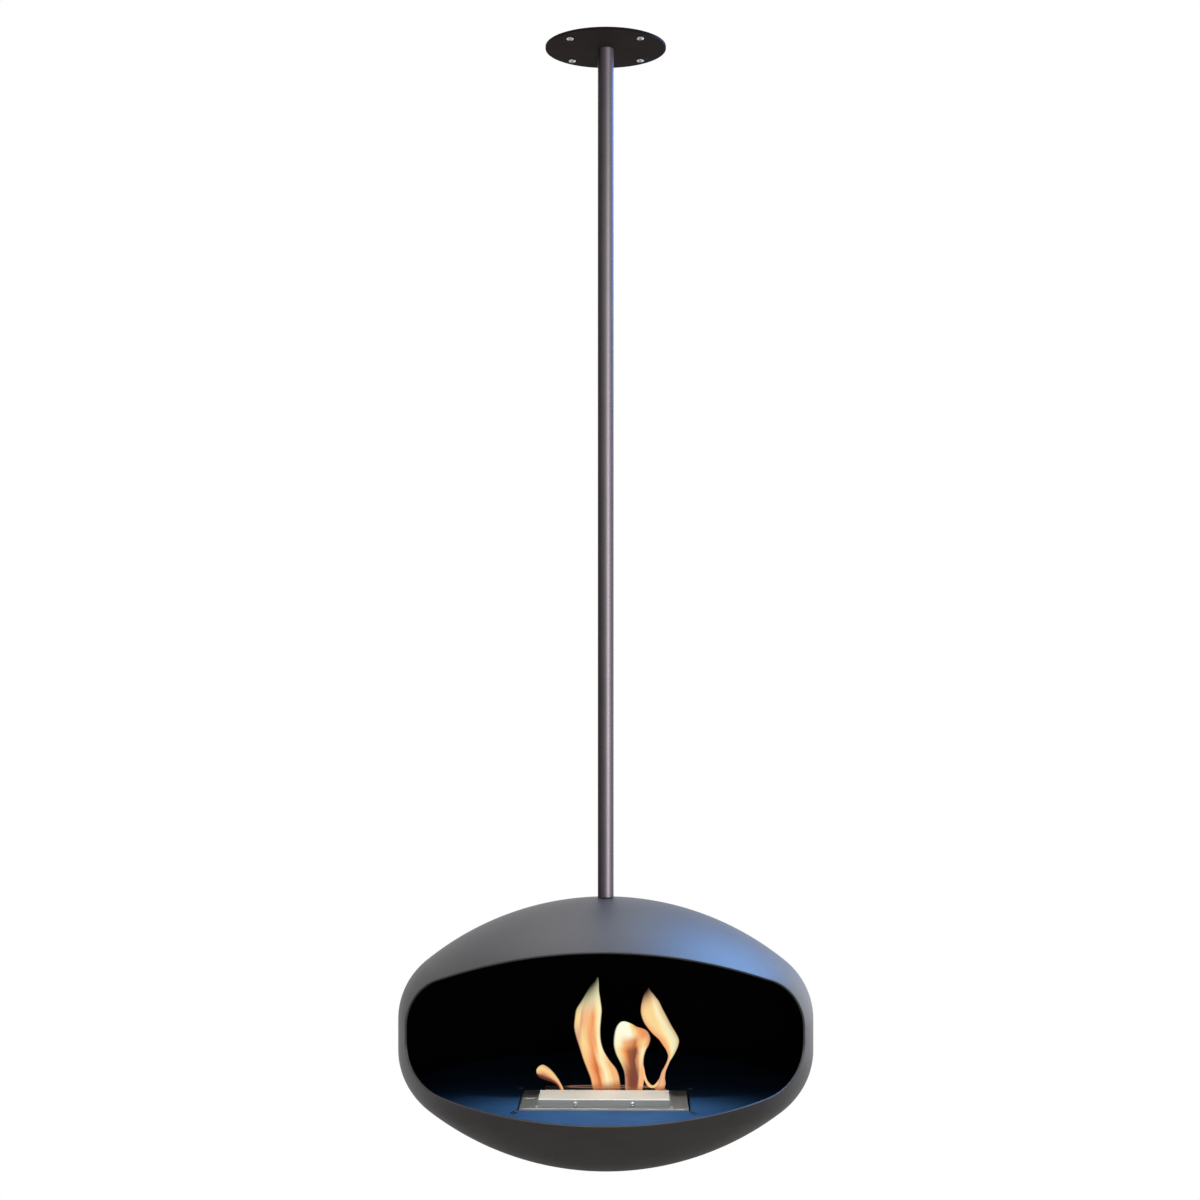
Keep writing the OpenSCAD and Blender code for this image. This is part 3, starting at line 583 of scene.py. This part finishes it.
def flame_material(name, flame, glow):
    """Burning ethanol: light without a surface, in long streaks that wander a little, with crisp but soft
    sides, a dark red root where it leaves the slot and a pale tip that fades out."""
    material, tree = new_material(name)
    place = add_node(tree, "UVMap", settings={"uv_map": "UVMap"}).outputs["UV"]
    split = add_node(tree, "SeparateXYZ", inputs={"Vector": place})
    across, up = split.outputs["X"], split.outputs["Y"]
    # Wisps a quarter of the flame wide and a third of it long move its streaks
    wander, soft_side = 0.05, 0.08
    drawn = add_node(tree, "Mapping", inputs={"Vector": place, "Scale": (4.0, 3.0, 1.0)})
    wisps = add_node(tree, "TexNoise", inputs={
        "Vector": drawn, "Scale": 1.0, "Detail": 3.0, "Distortion": 0.6})
    sway = add_node(tree, "MapRange", inputs={"Value": wisps, **SPREAD, "To Min": -wander, "To Max": wander})
    half_lean = flame["lean"] / 2
    lean = add_node(tree, "MapRange", settings=EASED, inputs={
        "Value": up, "From Min": 0.1, "From Max": 0.7, "To Min": half_lean, "To Max": -half_lean})
    leaning = add_node(tree, "Math", inputs={0: across, 1: lean})
    streak = add_node(tree, "Math", inputs={0: leaning, 1: sway})
    rise = add_node(tree, "Math", settings={"operation": "MULTIPLY_ADD"}, inputs={0: sway, 1: 0.4, 2: up})
    body, below = None, 0.0
    for height, stops in flame["streaks"]:
        colours = add_node(tree, "ValToRGB", inputs={"Fac": streak}, stops=stops)
        if body is None:
            body = colours
        else:
            share = add_node(tree, "MapRange", settings=EASED, inputs={
                "Value": rise, "From Min": below, "From Max": height})
            body = add_node(tree, "Mix", settings=COLOURS, inputs={0: share, 6: body, 7: colours}).outputs[2]
        below = height
    # A root goes from dark red at the slot through rust into the flame's own streaks
    dark_end, rust_start, streaks_start = 0.25 * flame["root"], 0.5 * flame["root"], 0.4 * flame["root"]
    root = add_node(tree, "ValToRGB", inputs={"Fac": up}, stops=[(dark_end, DARK_RED), (rust_start, RUST)])
    above_root = add_node(tree, "MapRange", settings=EASED, inputs={
        "Value": up, "From Min": streaks_start, "From Max": flame["root"]})
    rooted = add_node(tree, "Mix", settings=COLOURS, inputs={0: above_root, 6: root, 7: body}).outputs[2]
    # The tip fades first on the left, where the flame curls away
    slanted = add_node(tree, "Math", settings={"operation": "MULTIPLY_ADD"}, inputs={
        0: across, 1: -flame["slant"], 2: up})
    tip = add_node(tree, "MapRange", settings=EASED, inputs={
        "Value": slanted, "From Min": flame["tip"], "From Max": 1.0 - 0.4 * flame["slant"]})
    tipped = add_node(tree, "Mix", settings=COLOURS, inputs={0: tip, 6: rooted, 7: flame["end"]}).outputs[2]
    centred = add_node(tree, "Math", settings={"operation": "PINGPONG"}, inputs={0: across, 1: 0.5})
    side = add_node(tree, "MapRange", settings=EASED, inputs={
        "Value": centred, "From Min": 0.0, "From Max": soft_side, "To Max": flame["cover"]})
    remains = add_node(tree, "Math", settings={"operation": "SUBTRACT"}, inputs={0: 1.0, 1: tip})
    cover = add_node(tree, "Math", settings={"operation": "MULTIPLY"}, inputs={0: side, 1: remains})
    surface = add_node(tree, "BsdfPrincipled", inputs={
        "Base Color": (0, 0, 0, 1), "Roughness": 1.0, "Specular IOR Level": 0.0,
        "Emission Color": tipped, "Emission Strength": glow, "Alpha": cover})
    add_node(tree, "OutputMaterial", inputs={"Surface": surface})
    return material


# Each finish, from the colours in Finishes
FINISH_MAKERS = {
    "coat_pod": lambda look: powder_coat("Charcoal powder coat", look.coat_pod, 0.50, 0.42),
    "coat_support": lambda look: powder_coat(
        "Satin black powder coat", look.coat_pole, 0.52, 0.16, depth_mm=0.012),
    "coat_plate": lambda look: powder_coat("Matt brown-black powder coat", look.coat_plate, 0.80, 0.05),
    "coat_inside": lambda look: powder_coat("Matt black stove paint", look.coat_inside, 0.90, 0.05),
    # The deck: its bright blue is painted sky light, and painted shade darkens its back where the pod shades
    # it
    "coat_deck": lambda look: powder_coat("Blue-black coat with painted sky light", look.coat_deck, 0.60, 0.05, soot_and_shade=(-0.13, 0.03)),
    "stainless": lambda look: brushed_steel("Brushed stainless steel", look.stainless, 0.42, film=0.35),
    # The collar: a darker stainless colour than the tray's
    "stainless_dark": lambda look: brushed_steel("Dark stainless steel", look.stainless_dark, 0.35),
    # The lid: painted light makes its top near white, and painted shade darkens its skirt
    "stainless_lid": lambda look: brushed_steel(
        "Stainless steel with painted light and shade", look.stainless_lid, 0.50, film=0.9, skirt=look.stainless_skirt),
    "polished_studs": lambda look: turned_metal(
        "Polished stainless steel", look.polished, 0.12, contrast=0.04),
    "plain_steel": lambda look: turned_metal("Bright mild steel", look.mild_steel, 0.40),
    "zinc_hardware": lambda look: turned_metal("Zinc plate", look.zinc, 0.35, pit_mm=2.5, contrast=0.2),
    "black_screws": lambda look: powder_coat(
        "Painted screw heads", look.screw_paint, 0.35, 0.50, grain_mm=0.8),
    "slip_plastic": lambda look: acetal_plastic("Black acetal", look.acetal),
    "bronze": lambda look: turned_metal("Sintered bronze", look.bronze, 0.45, pit_mm=0.6, contrast=0.25),
    "ceramic_wool": lambda look: ceramic_wool("Ceramic wool", look.wool),
}


@cache
def get_material(name):
    """The named finish, made when a piece first asks for it."""
    return FINISH_MAKERS[name](bpy.context.scene.fireplace_finishes)


def take_place(piece, body, replaced=()):
    """Puts a piece on its body and hides the CAD nodes that it stands for."""
    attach(piece, body)
    if replaced:
        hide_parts(*replaced)


class FIREPLACE_OT_pod_shells(Operator):
    """Makes the pod's two dished heads, with the mouth's dressed edge"""

    bl_idname = "fireplace.pod_shells"
    bl_label = "Pod shells"

    def execute(self, context):
        sizes = context.scene.fireplace_pod
        coats = [get_material("coat_pod"), get_material("coat_inside")]
        for name, node, upper in (("pod_upper", "upper_shell", True), ("pod_lower", "lower_shell", False)):
            piece = build_piece(name, head_patches(sizes, upper), coats)
            take_place(piece, "pod", [node])
        return {"FINISHED"}


class FIREPLACE_OT_sheet_pieces(Operator):
    """Breaks the sharp edges of the flat and folded sheet pieces"""

    bl_idname = "fireplace.sheet_pieces"
    bl_label = "Sheet pieces"

    # Body, slot in the record and finish of each piece
    pieces = {
        "ceiling_plate": ("ceiling_support", "coat_support", "coat_plate"),
        "deck": ("pod", "coat_deck", "coat_deck"),
        "burner_tray": ("burner", "stainless", "stainless"),
        "burner_collar": ("burner", "stainless", "stainless_dark"),
        "lid_guides": ("burner", "stainless", "stainless"),
        "burner_lid": ("lid", "stainless_lid", "stainless_lid"),
    }

    def execute(self, context):
        for node, (body, slot, finish) in self.pieces.items():
            mesh = frame["nodes"][node].data.copy()
            mesh.materials.clear()
            mesh.materials.append(get_material(finish))
            piece = bpy.data.objects.new(node + "_dressed", mesh)
            context.scene.collection.objects.link(piece)
            clean_mesh(mesh, flat_deg=0.5)
            bevel = piece.modifiers.new("Broken edges", "BEVEL")
            bevel.width = context.scene.fireplace_burner.broken_edge
            bevel.segments = 2
            bevel.limit_method = "ANGLE"
            bevel.harden_normals = True
            take_place(piece, body, [node])
        return {"FINISHED"}


def dome(radius, height):
    """Profile of a domed head, from its rim to the middle of its top: an ellipse on a short straight rim."""
    steps, rim_share = 8, 0.25
    lean = np.linspace(0, np.pi / 2, steps)
    return radius * np.cos(lean), height * (rim_share + (1 - rim_share) * np.sin(lean))


class FIREPLACE_OT_lid_studs(Operator):
    """Makes the two polished studs on the lid's front: domed heads, shanks and small washers"""

    bl_idname = "fireplace.lid_studs"
    bl_label = "Lid studs"

    def execute(self, context):
        sizes = context.scene.fireplace_burner
        low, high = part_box("lid_studs")
        columns = 32
        washer, shank = 0.9 * sizes.stud_radius, 0.55 * sizes.stud_radius
        back = low.y + sizes.stud_proud - high.y
        washer_front = back + MM
        radii, heights = dome(sizes.stud_radius, sizes.stud_proud)
        radii = np.concatenate([[0, washer, washer, shank, shank, sizes.stud_radius], radii])
        heights = np.concatenate([[back, back, washer_front, washer_front, 0, 0], heights])
        points = turned(radii, heights, columns)
        quads = grid_faces(len(radii), columns, wrap_columns=True)
        patches = []
        for side in (-1, 1):
            x = side * sizes.stud_pitch / 2
            centre = (x, low.y + sizes.stud_proud, (low.z + high.z) / 2)
            placed = np.stack([points[:, 0], -points[:, 2], points[:, 1]], -1) + centre
            patches.append((placed, quads, 0, None))
        piece = build_piece("lid_studs_turned", patches, [get_material("polished_studs")])
        take_place(piece, "lid", ["lid_studs"])
        return {"FINISHED"}


class FIREPLACE_OT_ceiling_screws(Operator):
    """Makes the four ceiling screws: domed heads with hexagon sockets, and shanks through the plate"""

    bl_idname = "fireplace.ceiling_screws"
    bl_label = "Ceiling screws"

    def execute(self, context):
        sizes = context.scene.fireplace_burner
        columns = 48
        shank = sizes.screw_shank
        socket, socket_depth, socket_rise = 0.42 * sizes.screw_head, 1.6 * MM, 0.15 * MM
        socket_corner = 1.15 * socket
        radii, heights = dome(sizes.screw_head, sizes.screw_height)
        keep = radii > socket_corner
        top = heights[keep][-1]
        floor = top - socket_depth
        radii = np.concatenate([[0, shank, shank, sizes.screw_head], radii[keep]])
        heights = np.concatenate([[PLATE_BOTTOM, PLATE_BOTTOM, 0, 0], heights[keep]])
        head = turned(radii, heights, columns)
        sixth = math.pi / 3

        def hexagon(turn):
            return 1 / np.cos(np.mod(turn, sixth) - sixth / 2)

        hole = turned([socket, socket, 0], [top + socket_rise, floor, floor], columns, hexagon)
        points = np.concatenate([head, hole])
        quads = grid_faces(len(points) // columns, columns, wrap_columns=True)
        patches = []
        for quarter in range(4):
            turn = math.pi / 4 + quarter * math.pi / 2
            centre = (sizes.screw_circle * math.cos(turn), sizes.screw_circle * math.sin(turn), PLATE_BOTTOM)
            placed = np.stack([points[:, 0], -points[:, 1], -points[:, 2]], -1) + centre
            patches.append((placed, quads, 0, None))
        piece = build_piece("ceiling_screws", patches, [get_material("zinc_hardware")])
        take_place(piece, "ceiling_support")
        return {"FINISHED"}


# Colours inside the flames
GLOW, CREAM, BUTTER = linear("#fffde0"), linear("#fff1bf"), linear("#fbd894")
PEACH, ORANGE, EMBER = linear("#f8ba82"), linear("#f2955a"), linear("#c86c38")
RUST, BROWN, DARK_RED = linear("#a8623c"), linear("#80483a"), linear("#3a1712")
TAN, OLIVE, ROSE = linear("#d8b488"), linear("#e4e2b8"), linear("#d8a084")

# Each flame's edges are in millimetres from the slot's middle and from the collar's top, from root to tip:
# left x, left height, right x, right height. Its streaks give colours from the left edge to the right one at
# some shares of its length, and blend between them. lean is how far the streaks drift across as they rise.
# root and tip are the shares of its length where it brightens and begins to fade, slant is how much sooner
# the tip's left side fades, end is the tip's colour, and cover is how much the flame hides.
FLAMES = {
    "left": {
        "edges": [
            (-17, -10, 23, -10), (-18, -1, 23, 1), (-19, 5, 22, 10), (-21, 15, 20, 20), (-26, 28, 16, 29),
            (-31, 41, 7, 40), (-36, 57, -1, 53), (-41, 72, -5, 66), (-44, 86, -6, 81), (-43, 100, -5, 96),
            (-41, 111, -4, 110), (-34, 122, -6, 124), (-26, 135, -8, 136), (-20, 145, -8.5, 146),
            (-16, 151, -9, 151.5), (-13.5, 155, -10, 155),
        ],
        "streaks": [
            (0.25, [
                (0.0, PEACH), (0.26, PEACH), (0.42, ORANGE), (0.53, EMBER), (0.62, PEACH), (0.75, CREAM),
                (0.93, BUTTER), (1.0, PEACH),
            ]),
            (0.45, [
                (0.0, ROSE), (0.13, BUTTER), (0.27, BUTTER), (0.42, PEACH), (0.55, ORANGE), (0.68, PEACH),
                (0.80, CREAM), (1.0, CREAM),
            ]),
            (0.66, [
                (0.0, BUTTER), (0.04, ROSE), (0.16, PEACH), (0.34, PEACH), (0.47, ORANGE), (0.60, BUTTER),
                (0.72, CREAM),
            ]),
            (0.90, [(0.0, TAN), (0.35, OLIVE), (0.7, CREAM)]),
        ],
        "lean": 0.43, "root": 0.14, "tip": 0.58, "slant": 0.14, "end": OLIVE, "cover": 0.98,
    },
    "middle": {
        "edges": [
            (27, -10, 53, -10), (28, 0, 54, 0), (28, 11, 56, 14), (27, 22, 56, 26), (24, 31, 55, 36),
            (20, 39, 56, 46), (15, 49, 59, 55), (12, 60, 63, 62), (12, 71, 65, 71), (14, 82, 62, 79),
            (18, 90, 56, 83), (24, 94, 48, 84), (33, 93, 41, 89),
        ],
        "streaks": [
            (0.30, [
                (0.0, ROSE), (0.16, RUST), (0.32, BROWN), (0.62, BROWN), (0.76, PEACH), (1.0, PEACH),
            ]),
            (0.62, [
                (0.0, CREAM), (0.14, BUTTER), (0.30, ORANGE), (0.42, RUST), (0.64, BROWN), (0.73, PEACH),
                (0.88, CREAM), (1.0, BUTTER),
            ]),
            (0.74, [
                (0.0, GLOW), (0.18, CREAM), (0.32, PEACH), (0.60, EMBER), (0.72, PEACH), (0.86, BUTTER),
                (1.0, ORANGE),
            ]),
            (0.87, [
                (0.0, GLOW), (0.46, GLOW), (0.57, BUTTER), (0.66, PEACH), (0.82, ORANGE), (1.0, ROSE),
            ]),
        ],
        "lean": 0.0, "root": 0.16, "tip": 0.98, "slant": 0.0, "end": BUTTER, "cover": 0.99,
    },
    "right": {
        "edges": [
            (70, -8, 84, -8), (70, 1, 85, 2), (74, 7, 86, 8), (77, 15, 85, 15), (80, 24, 86, 24),
            (84, 31, 89, 32), (88, 40, 92, 39), (89, 47, 96, 45), (86, 55, 100, 52), (81, 62, 104, 61),
            (75, 70, 105, 69), (67, 77, 101, 78), (60, 85, 95, 88), (54, 94, 88, 101), (50.5, 105, 82, 112),
            (50.5, 115, 77, 122), (52, 122, 73, 127), (54, 129, 69, 132), (57, 135, 65, 136),
            (60, 141, 62, 141),
        ],
        "streaks": [
            (0.20, [(0.0, ROSE), (0.5, PEACH), (1.0, ROSE)]),
            (0.45, [
                (0.0, ORANGE), (0.24, PEACH), (0.42, BUTTER), (0.58, CREAM), (0.80, OLIVE), (1.0, TAN),
            ]),
            (0.78, [(0.0, PEACH), (0.22, BUTTER), (0.5, BUTTER), (0.75, CREAM), (1.0, TAN)]),
        ],
        "lean": 0.0, "root": 0.10, "tip": 0.77, "slant": 0.05, "end": ROSE, "cover": 0.98,
    },
    "curl": {
        "edges": [
            (-63, -8, -56, -8), (-65, 0, -59, 1), (-67, 4, -62, 7), (-71, 7, -66, 14), (-76, 9, -72, 22),
            (-81, 10.5, -79, 29), (-87, 12.5, -87, 33.5), (-92, 15, -93, 31.5), (-95.5, 19, -96.5, 27),
            (-96.8, 22, -97.2, 24),
        ],
        "streaks": [
            (0.0, [(0.0, DARK_RED), (0.3, BROWN), (0.55, ORANGE), (0.8, PEACH), (1.0, ROSE)]),
            (0.6, [(0.0, DARK_RED), (0.3, BROWN), (0.55, PEACH), (0.85, BUTTER), (1.0, ROSE)]),
        ],
        "lean": 0.0, "root": 0.16, "tip": 0.97, "slant": 0.0, "end": ROSE, "cover": 0.92,
    },
    "loop": {
        "edges": [
            (50, 34, 54, 34), (52, 27, 56, 27), (53, 20, 57, 21), (56, 11, 60, 12), (61, 3, 65, 6),
            (68, 1, 68, 5), (74, 4, 71, 7), (79, 12, 76, 13), (82, 19, 79, 20),
        ],
        "streaks": [(0.0, [(0.0, ORANGE), (0.4, BUTTER), (1.0, PEACH)])],
        "lean": 0.0, "root": 0.01, "tip": 0.98, "slant": 0.0, "end": PEACH, "cover": 0.95,
    },
    "veil": {
        "edges": [(-57, 2.2, 70, 2.2), (-57, 2.7, 70, 2.7), (-57, 3.2, 70, 3.2), (-57, 3.7, 70, 3.7)],
        "streaks": [(0.0, [(0.0, ROSE), (1.0, ROSE)])],
        "lean": 0.0, "root": 0.01, "tip": 0.99, "slant": 0.0, "end": ROSE, "cover": 0.3,
    },
}


def flame_patch(edges, slot_top, y, sizes):
    """A flame's skin: smooth left and right edges up its length, joined by ellipses that lie flat to the
    front. Across runs 0 to 1 from the left edge to the right one, on the front skin and on the back one
    alike, and up is the share of the middle line's length."""
    columns, steps = 40, 10
    smooth = smooth_through(edges, steps) * MM
    rise = np.maximum((smooth[:, 1] + smooth[:, 3]) / 2, 0)
    bent_y = y + sizes.back_bend * rise**2
    left = np.stack([smooth[:, 0], bent_y, smooth[:, 1] + slot_top], -1)
    right = np.stack([smooth[:, 2], bent_y, smooth[:, 3] + slot_top], -1)
    half = (right - left) / 2
    turn = np.linspace(0, 2 * np.pi, columns, endpoint=False)
    depth = np.minimum(np.linalg.norm(half, axis=1) * sizes.depth_share * 2, sizes.max_depth)
    middle = (left + right)[:, None] / 2
    points = middle - half[:, None] * np.cos(turn)[None, :, None]
    points[..., 1] -= depth[:, None] * np.sin(turn)[None]
    across = np.broadcast_to((1 - np.cos(turn)) / 2, points.shape[:2])
    run = np.concatenate([[0], np.cumsum(np.linalg.norm(np.diff(left + right, axis=0), axis=1))])
    up = np.broadcast_to((run / run[-1])[:, None], points.shape[:2])
    uv = np.stack([across, up], -1).reshape(-1, 2)
    points = points.reshape(-1, 3)
    rows = len(smooth)
    ends = [points[:columns].mean(0), points[-columns:].mean(0)]
    caps = np.concatenate([np.tile(ends[0], (columns, 1)), points, np.tile(ends[1], (columns, 1))])
    cap_uv = np.concatenate([uv[:columns], uv, uv[-columns:]])
    quads = grid_faces(rows + 2, columns, wrap_columns=True)
    return (caps, quads, 0, cap_uv)


class FIREPLACE_OT_flames(Operator):
    """Makes the flames in the slot"""

    bl_idname = "fireplace.flames"
    bl_label = "Flames"

    def execute(self, context):
        sizes = context.scene.fireplace_flames
        for name, flame in FLAMES.items():
            material = flame_material("Ethanol flame " + name, flame, sizes.glow)
            patch = flame_patch(flame["edges"], COLLAR[1].z, SLOT_Y, sizes)
            piece = build_piece("flame_" + name, [patch], [material], sharp_deg=180)
            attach(piece, "burner")
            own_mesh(piece)
        return {"FINISHED"}


class FIREPLACE_OT_cad_finishes(Operator):
    """Gives each piece that keeps its packed shape its procedural finish"""

    bl_idname = "fireplace.cad_finishes"
    bl_label = "Finishes of kept pieces"

    def execute(self, context):
        slots = {part["node"]: part["material_slot"] for part in frame["record"]["subparts"]}
        for node, piece in frame["nodes"].items():
            piece.data.materials.clear()
            piece.data.materials.append(get_material(slots[node]))
        return {"FINISHED"}


class FIREPLACE_OT_stage(Operator):
    """Sets the floor, the pale surroundings, the lamps and the camera"""

    bl_idname = "fireplace.stage"
    bl_label = "Stage"

    # The pieces that the lamps over the mouth light
    shells = ("pod_upper", "pod_lower", "ceiling_plate_dressed", "ceiling_screws", "pole", "floor")
    hearth = (
        "deck_dressed", "burner_tray_dressed", "burner_collar_dressed", "lid_guides_dressed",
        "burner_lid_dressed", "lid_studs_turned", "deck_screws",
    )
    # Kind, position, target, size or beam and soft share, power in watts and colour of each lamp, whether it
    # lights surfaces directly, whether it shows in their gloss, and the pieces that it is kept to, if any
    lamps = {
        "front": ("AREA", (0.3, -3.2, -1.45), (0, 0, -1.45), (1.0, 0.6), 60, "#fffaf2", True, False, ()),
        "overhead": (
            "AREA", (0.05, -0.72, -0.31), (0, -0.2, -1.5), (1.1, 0.8), 17, "#fff8ec", True, True, shells,
        ),
        "hearth": (
            "SPOT", (0.05, -0.72, -0.31), (0, -0.19, -1.51), (math.radians(16.6), 0.5), 61, "#fffaf4",
            True, True, hearth,
        ),
        "pole_strip": (
            "AREA", (1.75, -2.2, -0.85), (0, 0, -0.85), (0.7, 2.0), 1300, "#efe2ee", True, True, ("pole",),
        ),
        "sky_window": ("AREA", (1.37, 0.96, 0.43), (0, 0, -1.4), (1.4, 1.4), 120, "#70b0ff", False, True, ()),
        "back_overhead": ("AREA", (-0.25, 1.05, 0.6), (0, 0, -1.4), (1.4, 1), 12, "#ffffff", False, True, ()),
        "right_window": (
            "AREA", (1.75, 1.75, -1.1), (0, 0, -1.4), (1.4, 1.4), 14, "#eef4ff", False, True, (),
        ),
    }

    def execute(self, context):
        stage = context.scene.fireplace_stage
        self.floor(stage)
        self.surroundings(context, stage)
        for name, (kind, place, target, size, power, hex_colour, direct, gloss, only) in self.lamps.items():
            light = bpy.data.lights.new(name, kind)
            if kind == "AREA":
                light.shape = "RECTANGLE"
                light.size, light.size_y = size
            else:
                light.spot_size, light.spot_blend = size
                light.shadow_soft_size = stage.spot_softness
            light.energy = power
            light.color = linear(hex_colour)[:3]
            lamp = bpy.data.objects.new(name, light)
            context.scene.collection.objects.link(lamp)
            aim(lamp, place, target)
            lamp.visible_camera = False
            lamp.visible_diffuse = direct
            lamp.visible_glossy = gloss
            if only:
                lit = bpy.data.collections.new(name)
                for piece in only:
                    lit.objects.link(bpy.data.objects[piece])
                lamp.light_linking.receiver_collection = lit
        self.camera(context, stage)
        context.scene.view_settings.view_transform = "Standard"
        return {"FINISHED"}

    def floor(self, stage):
        """Flat round floor, plain and pale, which fades into the surroundings at its rim."""
        rows, columns = 12, 64
        radii = np.linspace(0, stage.floor_radius, rows)
        points = turned(radii, np.zeros(rows), columns) + (0, 0, SEAM_Z - HEAD_HEIGHT - stage.floor_drop)
        fade_start, fade_end = stage.floor_fade * stage.floor_radius, stage.floor_end * stage.floor_radius
        material, tree = new_material("Pale floor")
        place = add_node(tree, "TexCoord").outputs["Object"]
        flat = add_node(tree, "Mapping", inputs={"Vector": place, "Scale": (1, 1, 0)})
        run = add_node(tree, "VectorMath", settings={"operation": "LENGTH"}, inputs={0: flat})
        rim = add_node(tree, "MapRange", settings=EASED, inputs={
            "Value": run.outputs["Value"], "From Min": fade_start, "From Max": fade_end})
        paths = add_node(tree, "LightPath")
        faded = add_node(tree, "Math", settings={"operation": "MULTIPLY"}, inputs={
            0: rim, 1: self.background_rays(tree, paths)})
        lifted = add_node(tree, "Math", settings={"operation": "MULTIPLY"}, inputs={
            0: paths.outputs["Is Camera Ray"], 1: stage.floor_lift})
        share = add_node(tree, "Math", settings={"operation": "MAXIMUM"}, inputs={0: faded, 1: lifted})
        pale = add_node(tree, "BsdfDiffuse", inputs={"Color": linear("#dedcd8")})
        white = add_node(tree, "Emission", inputs={"Color": (1, 1, 1, 1), "Strength": 1.0})
        mixed = add_node(tree, "MixShader", inputs={0: share, 1: pale, 2: white})
        add_node(tree, "OutputMaterial", inputs={"Surface": mixed})
        quads = grid_faces(rows, columns, wrap_columns=True)
        piece = build_piece("floor", [(points, quads, 0, None)], [material])

    def background_rays(self, tree, paths):
        """1 for rays from the camera, a reflection or a refraction, and 0 for rays that only carry light."""
        first = add_node(tree, "Math", settings={"operation": "MAXIMUM"}, inputs={
            0: paths.outputs["Is Camera Ray"], 1: paths.outputs["Is Glossy Ray"]})
        return add_node(tree, "Math", settings={"operation": "MAXIMUM"}, inputs={
            0: first, 1: paths.outputs["Is Transmission Ray"]})

    def surroundings(self, context, stage):
        """World: white to the camera and in reflections, and a soft low light otherwise."""
        world = bpy.data.worlds.new("Pale surroundings")
        context.scene.world = world
        world.use_nodes = True
        tree = world.node_tree
        tree.nodes.clear()
        paths = add_node(tree, "LightPath")
        strength = add_node(tree, "MapRange", inputs={
            "Value": self.background_rays(tree, paths), "To Min": stage.ambient, "To Max": 1.0})
        white = add_node(tree, "Background", inputs={"Color": (1, 1, 1, 1), "Strength": strength})
        add_node(tree, "OutputWorld", inputs={"Surface": white})

    def camera(self, context, stage):
        """Level camera: its lens and upward shift come from the photograph's focal length and horizon."""
        data = bpy.data.cameras.new("camera")
        data.sensor_width = SENSOR_MM
        data.lens = SENSOR_MM * stage.focal_pixels / PHOTO_PIXELS
        data.shift_y = (stage.horizon_pixel - PHOTO_PIXELS / 2) / PHOTO_PIXELS
        camera = bpy.data.objects.new("camera", data)
        context.scene.collection.objects.link(camera)
        across = np.array([math.cos(stage.camera_turn), math.sin(stage.camera_turn)])
        away = np.array([across[1], -across[0]])
        camera.location[:2] = away * stage.camera_distance - across * stage.camera_side
        camera.location[2] = SEAM_Z + stage.camera_rise
        camera.rotation_euler = (math.pi / 2, 0, stage.camera_turn)
        context.scene.camera = camera


def aim(lamp, place, target):
    """Puts a lamp at place and turns it towards target."""
    lamp.location = place
    lamp.rotation_euler = (Vector(target) - Vector(place)).to_track_quat("-Z", "Y").to_euler()


GROUPS = {
    "fireplace_pod": PodSizes,
    "fireplace_burner": BurnerSizes,
    "fireplace_flames": FlameSizes,
    "fireplace_finishes": Finishes,
    "fireplace_stage": StageSettings,
}
OPERATORS = [
    FIREPLACE_OT_cad_finishes,
    FIREPLACE_OT_pod_shells,
    FIREPLACE_OT_sheet_pieces,
    FIREPLACE_OT_lid_studs,
    FIREPLACE_OT_ceiling_screws,
    FIREPLACE_OT_flames,
    FIREPLACE_OT_stage,
]


class VIEW3D_PT_fireplace(Panel):
    """Lists the fireplace's pieces and their sizes"""

    bl_label = "Suspended fireplace"
    bl_space_type = "VIEW_3D"
    bl_region_type = "UI"
    bl_category = "Fireplace"

    def draw(self, context):
        for operator in OPERATORS:
            self.layout.operator(operator.bl_idname)
        for group, kind in GROUPS.items():
            box = self.layout.box()
            box.label(text=kind.__doc__)
            for name in kind.__annotations__:
                box.prop(getattr(context.scene, group), name)


def register():
    for kind in (*GROUPS.values(), *OPERATORS, VIEW3D_PT_fireplace):
        bpy.utils.register_class(kind)
    for name, kind in GROUPS.items():
        setattr(bpy.types.Scene, name, PointerProperty(type=kind))


def unregister():
    for name in GROUPS:
        delattr(bpy.types.Scene, name)
    for kind in (VIEW3D_PT_fireplace, *reversed(OPERATORS), *reversed(GROUPS.values())):
        bpy.utils.unregister_class(kind)


def main():
    """Builds everything in order."""
    register()
    bpy.ops.fireplace.cad_finishes()
    bpy.ops.fireplace.pod_shells()
    bpy.ops.fireplace.sheet_pieces()
    bpy.ops.fireplace.lid_studs()
    bpy.ops.fireplace.ceiling_screws()
    bpy.ops.fireplace.flames()
    bpy.ops.fireplace.stage()


if __name__ == "__main__":
    main()
